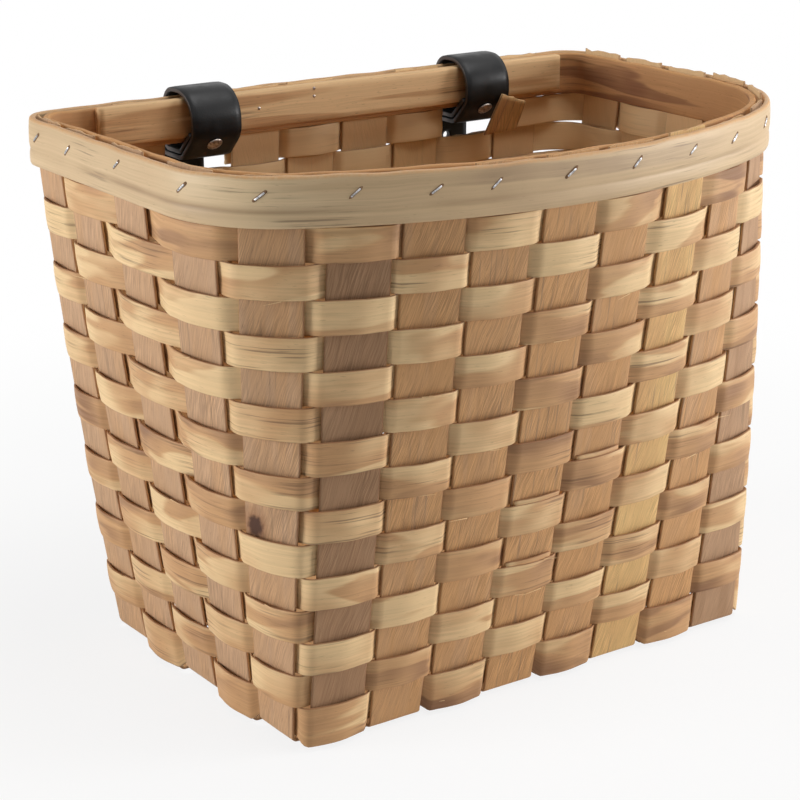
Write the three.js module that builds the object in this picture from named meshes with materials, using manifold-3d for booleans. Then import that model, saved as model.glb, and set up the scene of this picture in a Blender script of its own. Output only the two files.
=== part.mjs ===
// A woven splint bicycle basket with two leather straps, in millimetres.
// X runs along the front, the front faces -Y, the back with the straps faces +Y, and Z is up.
import * as THREE from 'three';
import { mergeVertices } from 'three/addons/utils/BufferGeometryUtils.js';
import Module from 'manifold-3d';

const wasm = await Module();
wasm.setup();

// Gaps between the stakes where they meet the rim: along the front from its left end, along the left side
// from the front, along the right side and along the back, and how far the back ones lean to the right
const RIM_FRONT_START = 98;
const RIM_FRONT_GAPS = [4, 3.5, 6, 5.5, 10, 10.5, 9];
const RIM_LEFT_GAPS = [8.7, 9.9, 22, 15.8, 5];
const RIM_RIGHT_GAP = 5.4;
const RIM_BACK_GAP = 4.6;
const BACK_STAKE_SHIFT = 14.5;

// Splints
const FRONT_STAKES = RIM_FRONT_GAPS.length + 1;
const SIDE_STAKES = RIM_LEFT_GAPS.length;
const STAKE_WIDTH = 26;
const STAKE_THICKNESS = 1.2;
const WEAVER_THICKNESS = 1.2;
const WEAVE_CLEARANCE = 0.3;

// Base: gaps between neighbouring stakes, and from the last stake's edge to the wall round the corner
const BASE_FRONT_GAP = 4;
const BASE_SIDE_GAP = 5.5;
const BASE_CORNER_GAP = 4.5;
const BASE_FOLD_RADIUS = 1.8;

// Walls
const WEAVER_ROWS = 15;
const WEAVER_HEIGHT = 14.1;
const ROW_GAP = 0.3;
const WALL_BELLY = 2;

// Rim: how far its middle line stands out past the base, the arcs of its plan, and its section
const LEFT_FLARE = 23.8;
const RIGHT_FLARE = 36.7;
const FRONT_FLARE = 27.5;
const BACK_FLARE = 15.4;
const FRONT_BOW_RADIUS = 253;
const LEFT_CORNER_RADIUS = 51;
const RIGHT_CORNER_RADIUS = 82.5;
const BACK_CORNER_RADIUS = 14;
const RIM_HEIGHT = 20.5;
const BAND_THICKNESS = 2.9;
const HOOP_THICKNESS = 2.9;
const RIM_CLEARANCE = 1.2;
const STAKE_END_DROP = 1.2;

// Back lath: its section, its rise above the rim, and its distance from the two ends of the straight back
const LATH_THICKNESS = 5;
const LATH_HEIGHT = 17.6;
const LATH_RISE = 0.3;
const LATH_LEFT_GAP = 15.8;
const LATH_RIGHT_GAP = 3.3;
const SEAT_GAP = 0.3;

// Straps pass over the rim and through the weave where these front-to-back stakes are cut short
const SLOT_STAKES = [1, 6];
const SLOT_END_OVERRUN = 1.5;
const STRAP_WIDTH = 25.4;
const STRAP_THICKNESS = 2.5;
const STRAP_LAYER_GAP = 0.3;
const STRAP_RISE = 2.2;
const STRAP_BULGE = 6.1;
const STRAP_STANDOFF = 2.8;
const STRAP_SLOT_CLEARANCE = 2.6;
const LATH_CORNER_CLEARANCE = 0.36;
const STRAP_TAIL_DROP = 47;
const TAIL_TIP_CUT = 7;
const PUNCH_RADIUS = 2;
const PUNCH_PITCH = 11.5;
const PUNCH_COUNT = 3;

// Bends in the strap, in order from its riveted end to its tail
const RIVETED_END_RUN = 9.05;
const RIVETED_END_BEND = 2;
const SLOT_EXIT_BEND = 3.5;
const STRAP_TURN_RADIUS = 8;
const SLOT_ENTRY_BEND = 4;
const BULGE_BEND = 3;
const STRAP_CREST_RADIUS = 13;
const BUCKLE_LIFT = 0.6;

// Buckles and rivets
const BUCKLE_BAR_RADIUS = 1.8;
const BUCKLE_WINDOW_SPARE = 3.5;
const BUCKLE_SIDE_CLEARANCE = 0.8;
const BUCKLE_CORNER = 3;
const PRONG_WIDTH = 2.6;
const PRONG_THICKNESS = 2.2;
const PRONG_EYE_WALL = 1.4;
const PRONG_RUNNING_CLEARANCE = 0.05;
const PRONG_SLOT_CLEARANCE = 0.6;
const PRONG_HOLE_CLEARANCE = 0.95;
const PRONG_SWING = THREE.MathUtils.degToRad(36);
const RIVET_HEAD_RADIUS = 3.75;
const RIVET_HEAD_HEIGHT = 1.3;
const RIVET_SHANK_RADIUS = 1.6;
const RIVET_HOLE_CLEARANCE = 0.3;
const RIVET_FROM_BEND = 10.9;

// Facets, and the distances within which points count as one
const BOW_STEPS = 14;
const FRONT_CORNER_STEPS = 12;
const BACK_CORNER_STEPS = 8;
const FOLD_STEPS = 3;
const BEND_STEPS = 6;
const BUCKLE_CORNER_STEPS = 4;
const DOME_STEPS = 3;
const ROUND_SIDES = 16;
const CUT_OVERRUN = 1;
const SAME_POINT = 1e-3;
const MERGE_DISTANCE = 1e-4;

// Sizes worked out from the ones above
const weaveOffset = (STAKE_THICKNESS + WEAVER_THICKNESS) / 2 + WEAVE_CLEARANCE;
const baseOffset = STAKE_THICKNESS + WEAVE_CLEARANCE;
const basePitchX = STAKE_WIDTH + BASE_FRONT_GAP;
const basePitchY = STAKE_WIDTH + BASE_SIDE_GAP;
const baseHalfX = ((FRONT_STAKES - 1) * basePitchX + STAKE_WIDTH) / 2 + BASE_CORNER_GAP;
const baseHalfY = ((SIDE_STAKES - 1) * basePitchY + STAKE_WIDTH) / 2 + BASE_CORNER_GAP;
const baseMiddleZ = baseOffset + STAKE_THICKNESS / 2;
const wallFootZ = baseMiddleZ + BASE_FOLD_RADIUS;
const rowPitch = WEAVER_HEIGHT + ROW_GAP;
const firstRowZ = wallFootZ + baseOffset + ROW_GAP / 2;
const rimBottomZ = firstRowZ + WEAVER_ROWS * rowPitch + ROW_GAP / 2;
const rimTopZ = rimBottomZ + RIM_HEIGHT;
const rimInset = STAKE_THICKNESS / 2 + RIM_CLEARANCE;
const backPitch = STAKE_WIDTH + RIM_BACK_GAP;

// Builds one closed body through a row of sections with equally many points each.
// A ring of sections joins its last to its first, and an open row gets two flat ends.
function loft(sections, ring) {
  const count = sections.length;
  const sides = sections[0].length;
  const positions = sections.flat().flatMap((p) => [p.x, p.y, p.z]);
  const index = [];
  const spans = ring ? count : count - 1;
  for (let i = 0; i < spans; i += 1) {
    const a = i * sides;
    const b = ((i + 1) % count) * sides;
    for (let k = 0; k < sides; k += 1) {
      const n = (k + 1) % sides;
      index.push(a + k, a + n, b + n, a + k, b + n, b + k);
    }
  }
  if (!ring) {
    const last = (count - 1) * sides;
    for (let k = 1; k < sides - 1; k += 1) {
      index.push(0, k + 1, k, last, last + k, last + k + 1);
    }
  }
  const geometry = new THREE.BufferGeometry();
  geometry.setAttribute('position', new THREE.Float32BufferAttribute(positions, 3));
  geometry.setIndex(index);
  return facingOut(geometry);
}

// Turns every triangle over if the body's signed volume shows that it is inside out.
function facingOut(geometry) {
  const position = geometry.getAttribute('position');
  const index = geometry.getIndex().array;
  const corner = [new THREE.Vector3(), new THREE.Vector3(), new THREE.Vector3()];
  let volume = 0;
  for (let i = 0; i < index.length; i += 3) {
    corner.forEach((p, k) => p.fromBufferAttribute(position, index[i + k]));
    volume += corner[0].dot(corner[1].cross(corner[2]));
  }
  if (volume < 0) {
    for (let i = 0; i < index.length; i += 3) {
      [index[i + 1], index[i + 2]] = [index[i + 2], index[i + 1]];
    }
  }
  return geometry;
}

// A solid for cutting, from a closed geometry's positions alone.
function solid(geometry) {
  const plain = geometry.clone();
  plain.deleteAttribute('normal');
  plain.deleteAttribute('uv');
  const merged = mergeVertices(plain, MERGE_DISTANCE);
  const vertProperties = new Float32Array(merged.getAttribute('position').array);
  const triVerts = new Uint32Array(merged.getIndex().array);
  return new wasm.Manifold(new wasm.Mesh({ numProp: 3, vertProperties, triVerts }));
}

// Cuts tools out of a body.
function cut(geometry, tools) {
  const body = tools.reduce((rest, tool) => rest.subtract(solid(tool)), solid(geometry));
  const mesh = body.getMesh();
  const result = new THREE.BufferGeometry();
  result.setAttribute('position', new THREE.Float32BufferAttribute(mesh.vertProperties, 3));
  result.setIndex(new THREE.Uint32BufferAttribute(mesh.triVerts, 1));
  return result;
}

const rimLeftX = -baseHalfX - LEFT_FLARE;
const rimRightX = baseHalfX + RIGHT_FLARE;
const rimBackY = baseHalfY + BACK_FLARE;
const rimFrontY = -baseHalfY - FRONT_FLARE;
const rimCornerY = rimBackY - BACK_CORNER_RADIUS;
const backLeftX = rimLeftX + BACK_CORNER_RADIUS;
const backRightX = rimRightX - BACK_CORNER_RADIUS;

const outward = (tangent) => new THREE.Vector2(tangent.y, -tangent.x);

// One half of the rim's middle line, from the front's middle to the straight back: the front's bow, the front
// corner that touches the bow and the side, the straight side and the back corner.
function rimHalf(sideX, cornerRadius) {
  const side = Math.sign(sideX);
  const clockwise = side < 0;
  const bowY = rimFrontY + FRONT_BOW_RADIUS;
  const cornerX = sideX - side * cornerRadius;
  const down = Math.sqrt((FRONT_BOW_RADIUS - cornerRadius) ** 2 - cornerX ** 2);
  const cornerY = bowY - down;
  const meet = Math.atan2(-down, cornerX);
  const sideAngle = clockwise ? Math.PI : 0;
  const backX = sideX - side * BACK_CORNER_RADIUS;
  const arc = (x, y, radius, from, to) => new THREE.EllipseCurve(x, y, radius, radius, from, to, clockwise);
  const path = new THREE.CurvePath();
  path.add(arc(0, bowY, FRONT_BOW_RADIUS, -Math.PI / 2, meet));
  path.add(arc(cornerX, cornerY, cornerRadius, meet, sideAngle));
  path.add(new THREE.LineCurve(new THREE.Vector2(sideX, cornerY), new THREE.Vector2(sideX, rimCornerY)));
  path.add(arc(backX, rimCornerY, BACK_CORNER_RADIUS, sideAngle, Math.PI / 2));
  return path;
}

const leftRim = rimHalf(rimLeftX, LEFT_CORNER_RADIUS);
const rightRim = rimHalf(rimRightX, RIGHT_CORNER_RADIUS);

// The rim's middle line, at a distance from the front's middle towards the right, or the left if negative.
function rimAt(distance) {
  const path = distance < 0 ? leftRim : rightRim;
  return path.getPoint(Math.min(Math.abs(distance) / path.getLength(), 1));
}

// Points of one half of the rim with their outward directions, from the front to the back.
function halfLoop(path, side) {
  const steps = [BOW_STEPS, FRONT_CORNER_STEPS, 1, BACK_CORNER_STEPS];
  const loop = [];
  path.curves.forEach((curve, n) => {
    const last = n === path.curves.length - 1 ? steps[n] : steps[n] - 1;
    for (let i = 0; i <= last; i += 1) {
      const out = outward(curve.getTangentAt(i / steps[n])).multiplyScalar(side);
      loop.push({ point: curve.getPointAt(i / steps[n]), out });
    }
  });
  return loop;
}

// The rim's middle line once round: the right half from front to back, then the left half back again.
function rimLoop() {
  return [...halfLoop(rightRim, 1), ...halfLoop(leftRim, -1).slice(1).reverse()];
}

// A band that follows the rim between two distances from its middle line.
function rimRing(inner, outer, bottom, height) {
  const loop = rimLoop();
  const at = (offset) => loop.map(({ point, out }) => point.clone().addScaledVector(out, offset));
  const shape = new THREE.Shape(at(outer));
  shape.holes.push(new THREE.Path(at(inner)));
  const geometry = new THREE.ExtrudeGeometry(shape, { depth: height, bevelEnabled: false, steps: 1 });
  return geometry.translate(0, 0, bottom);
}

// A wall stake has its foot at the base and its head in the rim, each with the direction that it faces along.
function wallStake(foot, footAlong, head, headAlong) {
  return { foot, footAlong, head, headAlong };
}

function rimHead(distance) {
  const before = rimAt(distance - STAKE_WIDTH / 2);
  const after = rimAt(distance + STAKE_WIDTH / 2);
  const along = after.clone().sub(before).normalize();
  const chord = before.add(after).multiplyScalar(0.5);
  return { head: chord.add(rimAt(distance)).multiplyScalar(0.5), headAlong: along };
}

// How far along the rim each stake stands, from the first one and the gaps between them.
function stakePlaces(first, gaps) {
  const places = [first];
  gaps.forEach((gap, n) => places.push(places[n] + STAKE_WIDTH + gap));
  return places;
}

// Walls in order round the basket: front from left to right, right side, back, left side.
function wallStakes() {
  const frontSpan = (FRONT_STAKES - 1) / 2;
  const sideSpan = (SIDE_STAKES - 1) / 2;
  const frontPlaces = stakePlaces(-RIM_FRONT_START, RIM_FRONT_GAPS);
  const leftPlaces = stakePlaces(RIM_FRONT_START, RIM_LEFT_GAPS);
  const rightPlaces = stakePlaces(frontPlaces.at(-1), Array(SIDE_STAKES).fill(RIM_RIGHT_GAP));
  const walls = [];
  for (let k = 0; k < FRONT_STAKES; k += 1) {
    const { head, headAlong } = rimHead(frontPlaces[k]);
    const foot = new THREE.Vector2((k - frontSpan) * basePitchX, -baseHalfY);
    walls.push(wallStake(foot, new THREE.Vector2(1, 0), head, headAlong));
  }
  for (let j = 0; j < SIDE_STAKES; j += 1) {
    const { head, headAlong } = rimHead(rightPlaces[j + 1]);
    const foot = new THREE.Vector2(baseHalfX, (j - sideSpan) * basePitchY);
    walls.push(wallStake(foot, new THREE.Vector2(0, 1), head, headAlong));
  }
  for (let k = FRONT_STAKES - 1; k >= 0; k -= 1) {
    const foot = new THREE.Vector2((k - frontSpan) * basePitchX, baseHalfY);
    const head = new THREE.Vector2((k - frontSpan) * backPitch + BACK_STAKE_SHIFT, rimBackY);
    walls.push(wallStake(foot, new THREE.Vector2(-1, 0), head, new THREE.Vector2(-1, 0)));
  }
  for (let j = SIDE_STAKES - 1; j >= 0; j -= 1) {
    const { head, headAlong } = rimHead(-leftPlaces[j + 1]);
    const foot = new THREE.Vector2(-baseHalfX, (j - sideSpan) * basePitchY);
    walls.push(wallStake(foot, new THREE.Vector2(0, -1), head, headAlong));
  }
  return walls;
}

const walls = wallStakes();
const frontWall = (k) => walls[k];
const rightWall = (j) => walls[FRONT_STAKES + j];
const backWall = (k) => walls[FRONT_STAKES + SIDE_STAKES + FRONT_STAKES - 1 - k];
const leftWall = (j) => walls[walls.length - 1 - j];
const slotWalls = SLOT_STAKES.map(backWall);

// Where a wall stake's middle line is at a height, with its direction along the wall and out of it.
function wallAt(wall, z) {
  const t = THREE.MathUtils.clamp((z - wallFootZ) / (rimBottomZ - wallFootZ), 0, 1);
  const along = wall.footAlong.clone().lerp(wall.headAlong, t).normalize();
  const out = outward(along);
  const middle = wall.foot.clone().lerp(wall.head, t).addScaledVector(out, WALL_BELLY * 4 * t * (1 - t));
  return { middle, along, out };
}

function wallPoint(place, sideways, offset, z) {
  const p = place.middle.clone().addScaledVector(place.along, sideways).addScaledVector(place.out, offset);
  return new THREE.Vector3(p.x, p.y, z);
}

const rowEdgeZ = (row) => firstRowZ + (WEAVER_ROWS - row) * rowPitch;

// Level sections of a stake up one wall, from its fold to its end, with its width towards one side.
function stakeWall(wall, fromZ, widthSign) {
  const heights = [];
  for (let row = WEAVER_ROWS; row >= 0; row -= 1) {
    heights.push(rowEdgeZ(row));
  }
  heights.push(rimTopZ - STAKE_END_DROP);
  const endZ = slotWalls.includes(wall) ? rowEdgeZ(1) - ROW_GAP : Infinity;
  const levels = [fromZ, ...heights.filter((z) => z < endZ)];
  if (endZ < rimTopZ) {
    levels.push(endZ);
  }
  return levels.map((z) => {
    const place = wallAt(wall, z);
    const half = widthSign * STAKE_WIDTH / 2;
    const skin = STAKE_THICKNESS / 2;
    return [[-half, skin], [half, skin], [half, -skin], [-half, -skin]].map(
      ([sideways, offset]) => wallPoint(place, sideways, offset, z),
    );
  });
}

// Sections of a stake round the fold from the base up into a wall.
function stakeFold(wall, baseZ, widthSign) {
  const place = wallAt(wall, 0);
  const sections = [];
  for (let i = 0; i <= FOLD_STEPS; i += 1) {
    const angle = i / FOLD_STEPS * Math.PI / 2;
    const half = widthSign * STAKE_WIDTH / 2;
    const at = (sideways, skin) => {
      const radius = BASE_FOLD_RADIUS + skin;
      const inset = -BASE_FOLD_RADIUS + radius * Math.sin(angle);
      const z = baseZ + BASE_FOLD_RADIUS - radius * Math.cos(angle);
      return wallPoint(place, sideways, inset, z);
    };
    const skin = STAKE_THICKNESS / 2;
    sections.push([at(-half, skin), at(half, skin), at(half, -skin), at(-half, -skin)]);
  }
  return sections;
}

// One stake: down the first wall, across the base and up the second wall.
function stake(first, second, baseSections, firstZ, secondZ) {
  const up = (wall, baseZ, sign) => [
    ...stakeFold(wall, baseZ, sign),
    ...stakeWall(wall, baseZ + BASE_FOLD_RADIUS, sign).slice(1),
  ];
  return loft([...up(first, firstZ, 1).reverse(), ...baseSections, ...up(second, secondZ, -1)], false);
}

function frontToBackStake(k) {
  return stake(frontWall(k), backWall(k), [], baseMiddleZ, baseMiddleZ);
}

// Side-to-side stakes pass over and under the front-to-back ones in the base.
function sideToSideStake(j) {
  const levelAt = (k) => baseMiddleZ + ((k + j) % 2 === 0 ? 1 : -1) * baseOffset;
  const sections = [];
  for (let k = 0; k < FRONT_STAKES; k += 1) {
    [-1, 1].forEach((edge) => {
      const x = frontWall(k).foot.x + edge * STAKE_WIDTH / 2;
      const y = leftWall(j).foot.y;
      const half = STAKE_WIDTH / 2;
      const skin = STAKE_THICKNESS / 2;
      sections.push([[half, -skin], [-half, -skin], [-half, skin], [half, skin]].map(
        ([dy, dz]) => new THREE.Vector3(x, y + dy, levelAt(k) + dz),
      ));
    });
  }
  return stake(leftWall(j), rightWall(j), sections, levelAt(0), levelAt(FRONT_STAKES - 1));
}

// One section of a weaver at a place on the wall, with its edges level.
function weaverSection(placeAt, sideways, offset, row) {
  const low = rowEdgeZ(row) + ROW_GAP / 2;
  const high = low + WEAVER_HEIGHT;
  const skin = WEAVER_THICKNESS / 2;
  const corner = (z, side) => wallPoint(placeAt(z), sideways, offset + side * skin, z);
  return [corner(low, 1), corner(high, 1), corner(high, -1), corner(low, -1)];
}

// The middle of the turn from one wall stake to the next, on an arc between their edges.
function turnPlace(wall, next, z) {
  const a = wallAt(wall, z);
  const b = wallAt(next, z);
  const from = wallPoint(a, STAKE_WIDTH / 2, 0, z);
  const to = wallPoint(b, -STAKE_WIDTH / 2, 0, z);
  const out = a.out.clone().add(b.out).normalize();
  const turn = Math.acos(THREE.MathUtils.clamp(a.out.dot(b.out), -1, 1));
  const bow = from.distanceTo(to) / 2 * Math.tan(turn / 4);
  const middle = new THREE.Vector2((from.x + to.x) / 2, (from.y + to.y) / 2).addScaledVector(out, bow);
  return { middle, along: new THREE.Vector2(-out.y, out.x), out };
}

// A weaver passes outside every second stake and inside the others, and rows alternate.
function weaver(row, first, count) {
  const ring = count === walls.length;
  const sections = [];
  for (let n = 0; n < count; n += 1) {
    const i = (first + n) % walls.length;
    const wall = walls[i];
    const next = walls[(i + 1) % walls.length];
    const offset = ((i + row) % 2 === 1 ? 1 : -1) * weaveOffset;
    const startRun = !ring && n === 0 ? SLOT_END_OVERRUN : 0;
    const endRun = !ring && n === count - 1 ? SLOT_END_OVERRUN : 0;
    const place = (z) => wallAt(wall, z);
    sections.push(weaverSection(place, -STAKE_WIDTH / 2 - startRun, offset, row));
    sections.push(weaverSection(place, STAKE_WIDTH / 2 + endRun, offset, row));
    const corner = !wall.footAlong.equals(next.footAlong);
    if (corner && (ring || n < count - 1)) {
      sections.push(weaverSection((z) => turnPlace(wall, next, z), 0, 0, row));
    }
  }
  return loft(sections, ring);
}

// A line through corner points [y, z, radius] in the YZ plane, with round corners.
function filletedLine(corners) {
  const points = [];
  corners.forEach(([y, z, radius], i) => {
    const here = new THREE.Vector2(y, z);
    if (!radius) {
      points.push(here);
      return;
    }
    const back = new THREE.Vector2(corners[i - 1][0], corners[i - 1][1]).sub(here).normalize();
    const on = new THREE.Vector2(corners[i + 1][0], corners[i + 1][1]).sub(here).normalize();
    const half = Math.acos(THREE.MathUtils.clamp(back.dot(on), -1, 1)) / 2;
    const centre = here.clone().addScaledVector(back.clone().add(on).normalize(), radius / Math.sin(half));
    const start = here.clone().addScaledVector(back, radius / Math.tan(half)).sub(centre);
    const end = here.clone().addScaledVector(on, radius / Math.tan(half)).sub(centre);
    const sweep = Math.atan2(start.cross(end), start.dot(end));
    for (let s = 0; s <= BEND_STEPS; s += 1) {
      points.push(start.clone().rotateAround(new THREE.Vector2(), sweep * s / BEND_STEPS).add(centre));
    }
  });
  return points.filter((p, i) => i === 0 || p.distanceTo(points[i - 1]) > SAME_POINT);
}

// Outline of a strip of even thickness round a line in the YZ plane, closed for extruding.
function stripOutline(line, thickness) {
  const side = (sign) => line.map((p, i) => {
    const before = line[Math.max(i - 1, 0)];
    const after = line[Math.min(i + 1, line.length - 1)];
    const a = p.clone().sub(before).normalize();
    const b = after.clone().sub(p).normalize();
    const along = i === 0 ? b : i === line.length - 1 ? a : a.clone().add(b).normalize();
    const square = i === 0 || i === line.length - 1 ? 1 : along.dot(a);
    return p.clone().addScaledVector(new THREE.Vector2(-along.y, along.x), sign * thickness / 2 / square);
  });
  return [...side(1), ...side(-1).reverse()];
}

// Extrudes an outline drawn in the YZ plane along X, centred on x = 0.
function acrossX(outline, width, holes = []) {
  const shape = new THREE.Shape(outline);
  holes.forEach((hole) => shape.holes.push(new THREE.Path(hole)));
  const geometry = new THREE.ExtrudeGeometry(shape, { depth: width, bevelEnabled: false, steps: 1 });
  const turn = new THREE.Matrix4().makeBasis(
    new THREE.Vector3(0, 1, 0), new THREE.Vector3(0, 0, 1), new THREE.Vector3(1, 0, 0),
  );
  return geometry.applyMatrix4(turn).translate(-width / 2, 0, 0);
}

// Strap levels and places, from the rim, the lath and the slot
const bandOuterY = rimBackY + rimInset + BAND_THICKNESS;
const hoopInnerY = rimBackY - rimInset - HOOP_THICKNESS;
const lathInnerY = hoopInnerY - SEAT_GAP - LATH_THICKNESS;
const lathBottomZ = rimTopZ + LATH_RISE - LATH_HEIGHT;
const layerPitch = STRAP_THICKNESS + STRAP_LAYER_GAP;
const foldZ = rimBottomZ - STRAP_SLOT_CLEARANCE - STRAP_THICKNESS / 2;
const strapZ = foldZ - layerPitch;
const bulgeY = lathInnerY - STRAP_BULGE - STRAP_THICKNESS / 2;
const crestZ = rimTopZ + STRAP_RISE + STRAP_THICKNESS / 2;
const barWrap = BUCKLE_BAR_RADIUS + SEAT_GAP + STRAP_THICKNESS / 2;
const foldWrap = barWrap + layerPitch;
const buckleReach = barWrap + foldWrap + BUCKLE_WINDOW_SPARE;
const behindBuckleY = bandOuterY + STRAP_STANDOFF + STRAP_THICKNESS / 2;
const barY = behindBuckleY + barWrap;
const barZ = strapZ + STRAP_TURN_RADIUS + BUCKLE_LIFT;
const tailY = barY + foldWrap;
const tailTipZ = barZ - STRAP_TAIL_DROP;
const slant = Math.SQRT2;
const foldSum = lathInnerY + lathBottomZ - slant * (STRAP_THICKNESS / 2 + LATH_CORNER_CLEARANCE);
const strapSum = foldSum - slant * layerPitch;
const foldCorner = new THREE.Vector2(foldSum - foldZ, foldZ);
const strapCorner = new THREE.Vector2(strapSum - strapZ, strapZ);
const bulgeCorner = new THREE.Vector2(bulgeY, strapSum - bulgeY);
const crestBackRadius = crestZ - barZ - buckleReach - STRAP_LAYER_GAP;

// Inside the buckle the strap runs straight from round its upper bar to round the fold on its lower bar.
const crossLean = Math.asin((barWrap + foldWrap) / buckleReach);
const crossStart = new THREE.Vector2(behindBuckleY, barZ + buckleReach - barWrap * Math.tan(crossLean / 2));
const crossEnd = new THREE.Vector2(tailY, barZ + foldWrap * Math.tan(crossLean / 2));

// The prong leans out from the bar so that it clears the far bar of the buckle.
const prongLean = Math.asin((BUCKLE_BAR_RADIUS + SEAT_GAP + PRONG_THICKNESS / 2) / buckleReach);

// The strap's middle line: from its riveted end, out through the slot and round the buckle's bar, back in,
// round the lath, over the rim, through the buckle from behind and down to its loose tip.
function strapLine() {
  return filletedLine([
    [foldCorner.x - RIVETED_END_RUN, foldCorner.y + RIVETED_END_RUN, 0],
    [foldCorner.x, foldCorner.y, RIVETED_END_BEND],
    [barY - barWrap, foldZ, SLOT_EXIT_BEND],
    [barY - barWrap, barZ + barWrap, barWrap],
    [barY + barWrap, barZ + barWrap, barWrap],
    [barY + barWrap, strapZ, STRAP_TURN_RADIUS],
    [strapCorner.x, strapCorner.y, SLOT_ENTRY_BEND],
    [bulgeCorner.x, bulgeCorner.y, BULGE_BEND],
    [bulgeY, crestZ, STRAP_CREST_RADIUS],
    [behindBuckleY, crestZ, crestBackRadius],
    [crossStart.x, crossStart.y, barWrap],
    [crossEnd.x, crossEnd.y, foldWrap],
    [tailY, tailTipZ, 0],
  ]);
}

// A tool that punches along a direction in the YZ plane, round or lengthened along the strap.
function punch(centre, along, radius, length) {
  const run = length / 2 - radius;
  const outline = [];
  for (let k = 0; k < ROUND_SIDES; k += 1) {
    const angle = (k + 0.5) / ROUND_SIDES * Math.PI * 2;
    const x = radius * Math.cos(angle);
    outline.push(new THREE.Vector2(x + Math.sign(x) * run, radius * Math.sin(angle)));
  }
  const depth = layerPitch * 2 + STRAP_THICKNESS;
  const tool = new THREE.ExtrudeGeometry(new THREE.Shape(outline), { depth, bevelEnabled: false, steps: 1 });
  const x = new THREE.Vector3(0, along.x, along.y);
  const y = new THREE.Vector3(1, 0, 0);
  const z = new THREE.Vector3().crossVectors(x, y);
  tool.translate(0, 0, -depth / 2).applyMatrix4(new THREE.Matrix4().makeBasis(x, y, z));
  return tool.translate(0, centre.x, centre.y);
}

const rivetAlong = new THREE.Vector2(1, 1).normalize();
const slantUp = new THREE.Vector2(-rivetAlong.y, rivetAlong.x);
const rivetCentre = strapCorner.clone().addScaledVector(slantUp, RIVET_FROM_BEND);
const rivetLength = layerPitch + STRAP_THICKNESS;

// The hole that the prong stands in is long enough for the prong to swing out.
function prongHole() {
  const along = crossEnd.clone().sub(crossStart).normalize();
  const start = crossStart.clone().sub(new THREE.Vector2(barY, barZ));
  const edge = (lean, side) => {
    const ray = new THREE.Vector2(Math.sin(lean), Math.cos(lean));
    const crossing = along.cross(ray);
    const halfRun = (PRONG_THICKNESS + STRAP_THICKNESS * Math.abs(along.dot(ray))) / 2 / crossing;
    return -start.cross(ray) / crossing + side * (halfRun + PRONG_HOLE_CLEARANCE);
  };
  const first = edge(prongLean, -1);
  const last = edge(prongLean + PRONG_SWING, 1);
  const centre = crossStart.clone().addScaledVector(along, (first + last) / 2);
  return punch(centre, along, PRONG_WIDTH / 2 + PRONG_SLOT_CLEARANCE, last - first);
}

function strap() {
  const body = acrossX(stripOutline(strapLine(), STRAP_THICKNESS), STRAP_WIDTH);
  const eyeRoom = (barWrap + STRAP_THICKNESS / 2) * 2;
  const prongSlot = new THREE.BoxGeometry(PRONG_WIDTH + PRONG_SLOT_CLEARANCE * 2, eyeRoom, eyeRoom);
  prongSlot.translate(0, barY, barZ);
  const rivetHoleRadius = RIVET_SHANK_RADIUS + RIVET_HOLE_CLEARANCE;
  const rivetMiddle = rivetCentre.clone().addScaledVector(rivetAlong, layerPitch / 2);
  const rivetHole = punch(rivetMiddle, slantUp, rivetHoleRadius, rivetHoleRadius * 2);
  const down = new THREE.Vector2(0, -1);
  const spareHoles = [];
  for (let n = 1; n <= PUNCH_COUNT; n += 1) {
    const centre = new THREE.Vector2(tailY, crossEnd.y - n * PUNCH_PITCH);
    spareHoles.push(punch(centre, down, PUNCH_RADIUS, PUNCH_RADIUS * 2));
  }
  const tipCuts = [-1, 1].map((side) => {
    const size = TAIL_TIP_CUT * slant;
    const corner = new THREE.BoxGeometry(size, layerPitch + CUT_OVERRUN, size);
    return corner.rotateY(Math.PI / 4).translate(side * STRAP_WIDTH / 2, tailY, tailTipZ);
  });
  return cut(body, [prongSlot, rivetHole, prongHole(), ...spareHoles, ...tipCuts]);
}

// The buckle is a round bar bent into a rounded rectangle, hinged on its lower bar.
function buckleFrame() {
  const halfX = STRAP_WIDTH / 2 + BUCKLE_SIDE_CLEARANCE + BUCKLE_BAR_RADIUS;
  const corners = [[halfX, 0, 0], [halfX, buckleReach, 90], [-halfX, buckleReach, 180], [-halfX, 0, 270]];
  const sections = [];
  corners.forEach(([x, z, startAngle]) => {
    const centreX = x - Math.sign(x) * BUCKLE_CORNER;
    const centreZ = z === 0 ? BUCKLE_CORNER : z - BUCKLE_CORNER;
    for (let s = 0; s <= BUCKLE_CORNER_STEPS; s += 1) {
      const angle = THREE.MathUtils.degToRad(startAngle - 90 + 90 * s / BUCKLE_CORNER_STEPS);
      const outX = Math.cos(angle);
      const outZ = Math.sin(angle);
      const section = [];
      for (let k = 0; k < ROUND_SIDES; k += 1) {
        const turn = k / ROUND_SIDES * Math.PI * 2;
        const radius = BUCKLE_CORNER + BUCKLE_BAR_RADIUS * Math.cos(turn);
        const y = barY + BUCKLE_BAR_RADIUS * Math.sin(turn);
        section.push(new THREE.Vector3(centreX + outX * radius, y, barZ + centreZ + outZ * radius));
      }
      sections.push(section);
    }
  });
  return loft(sections, true);
}

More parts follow.
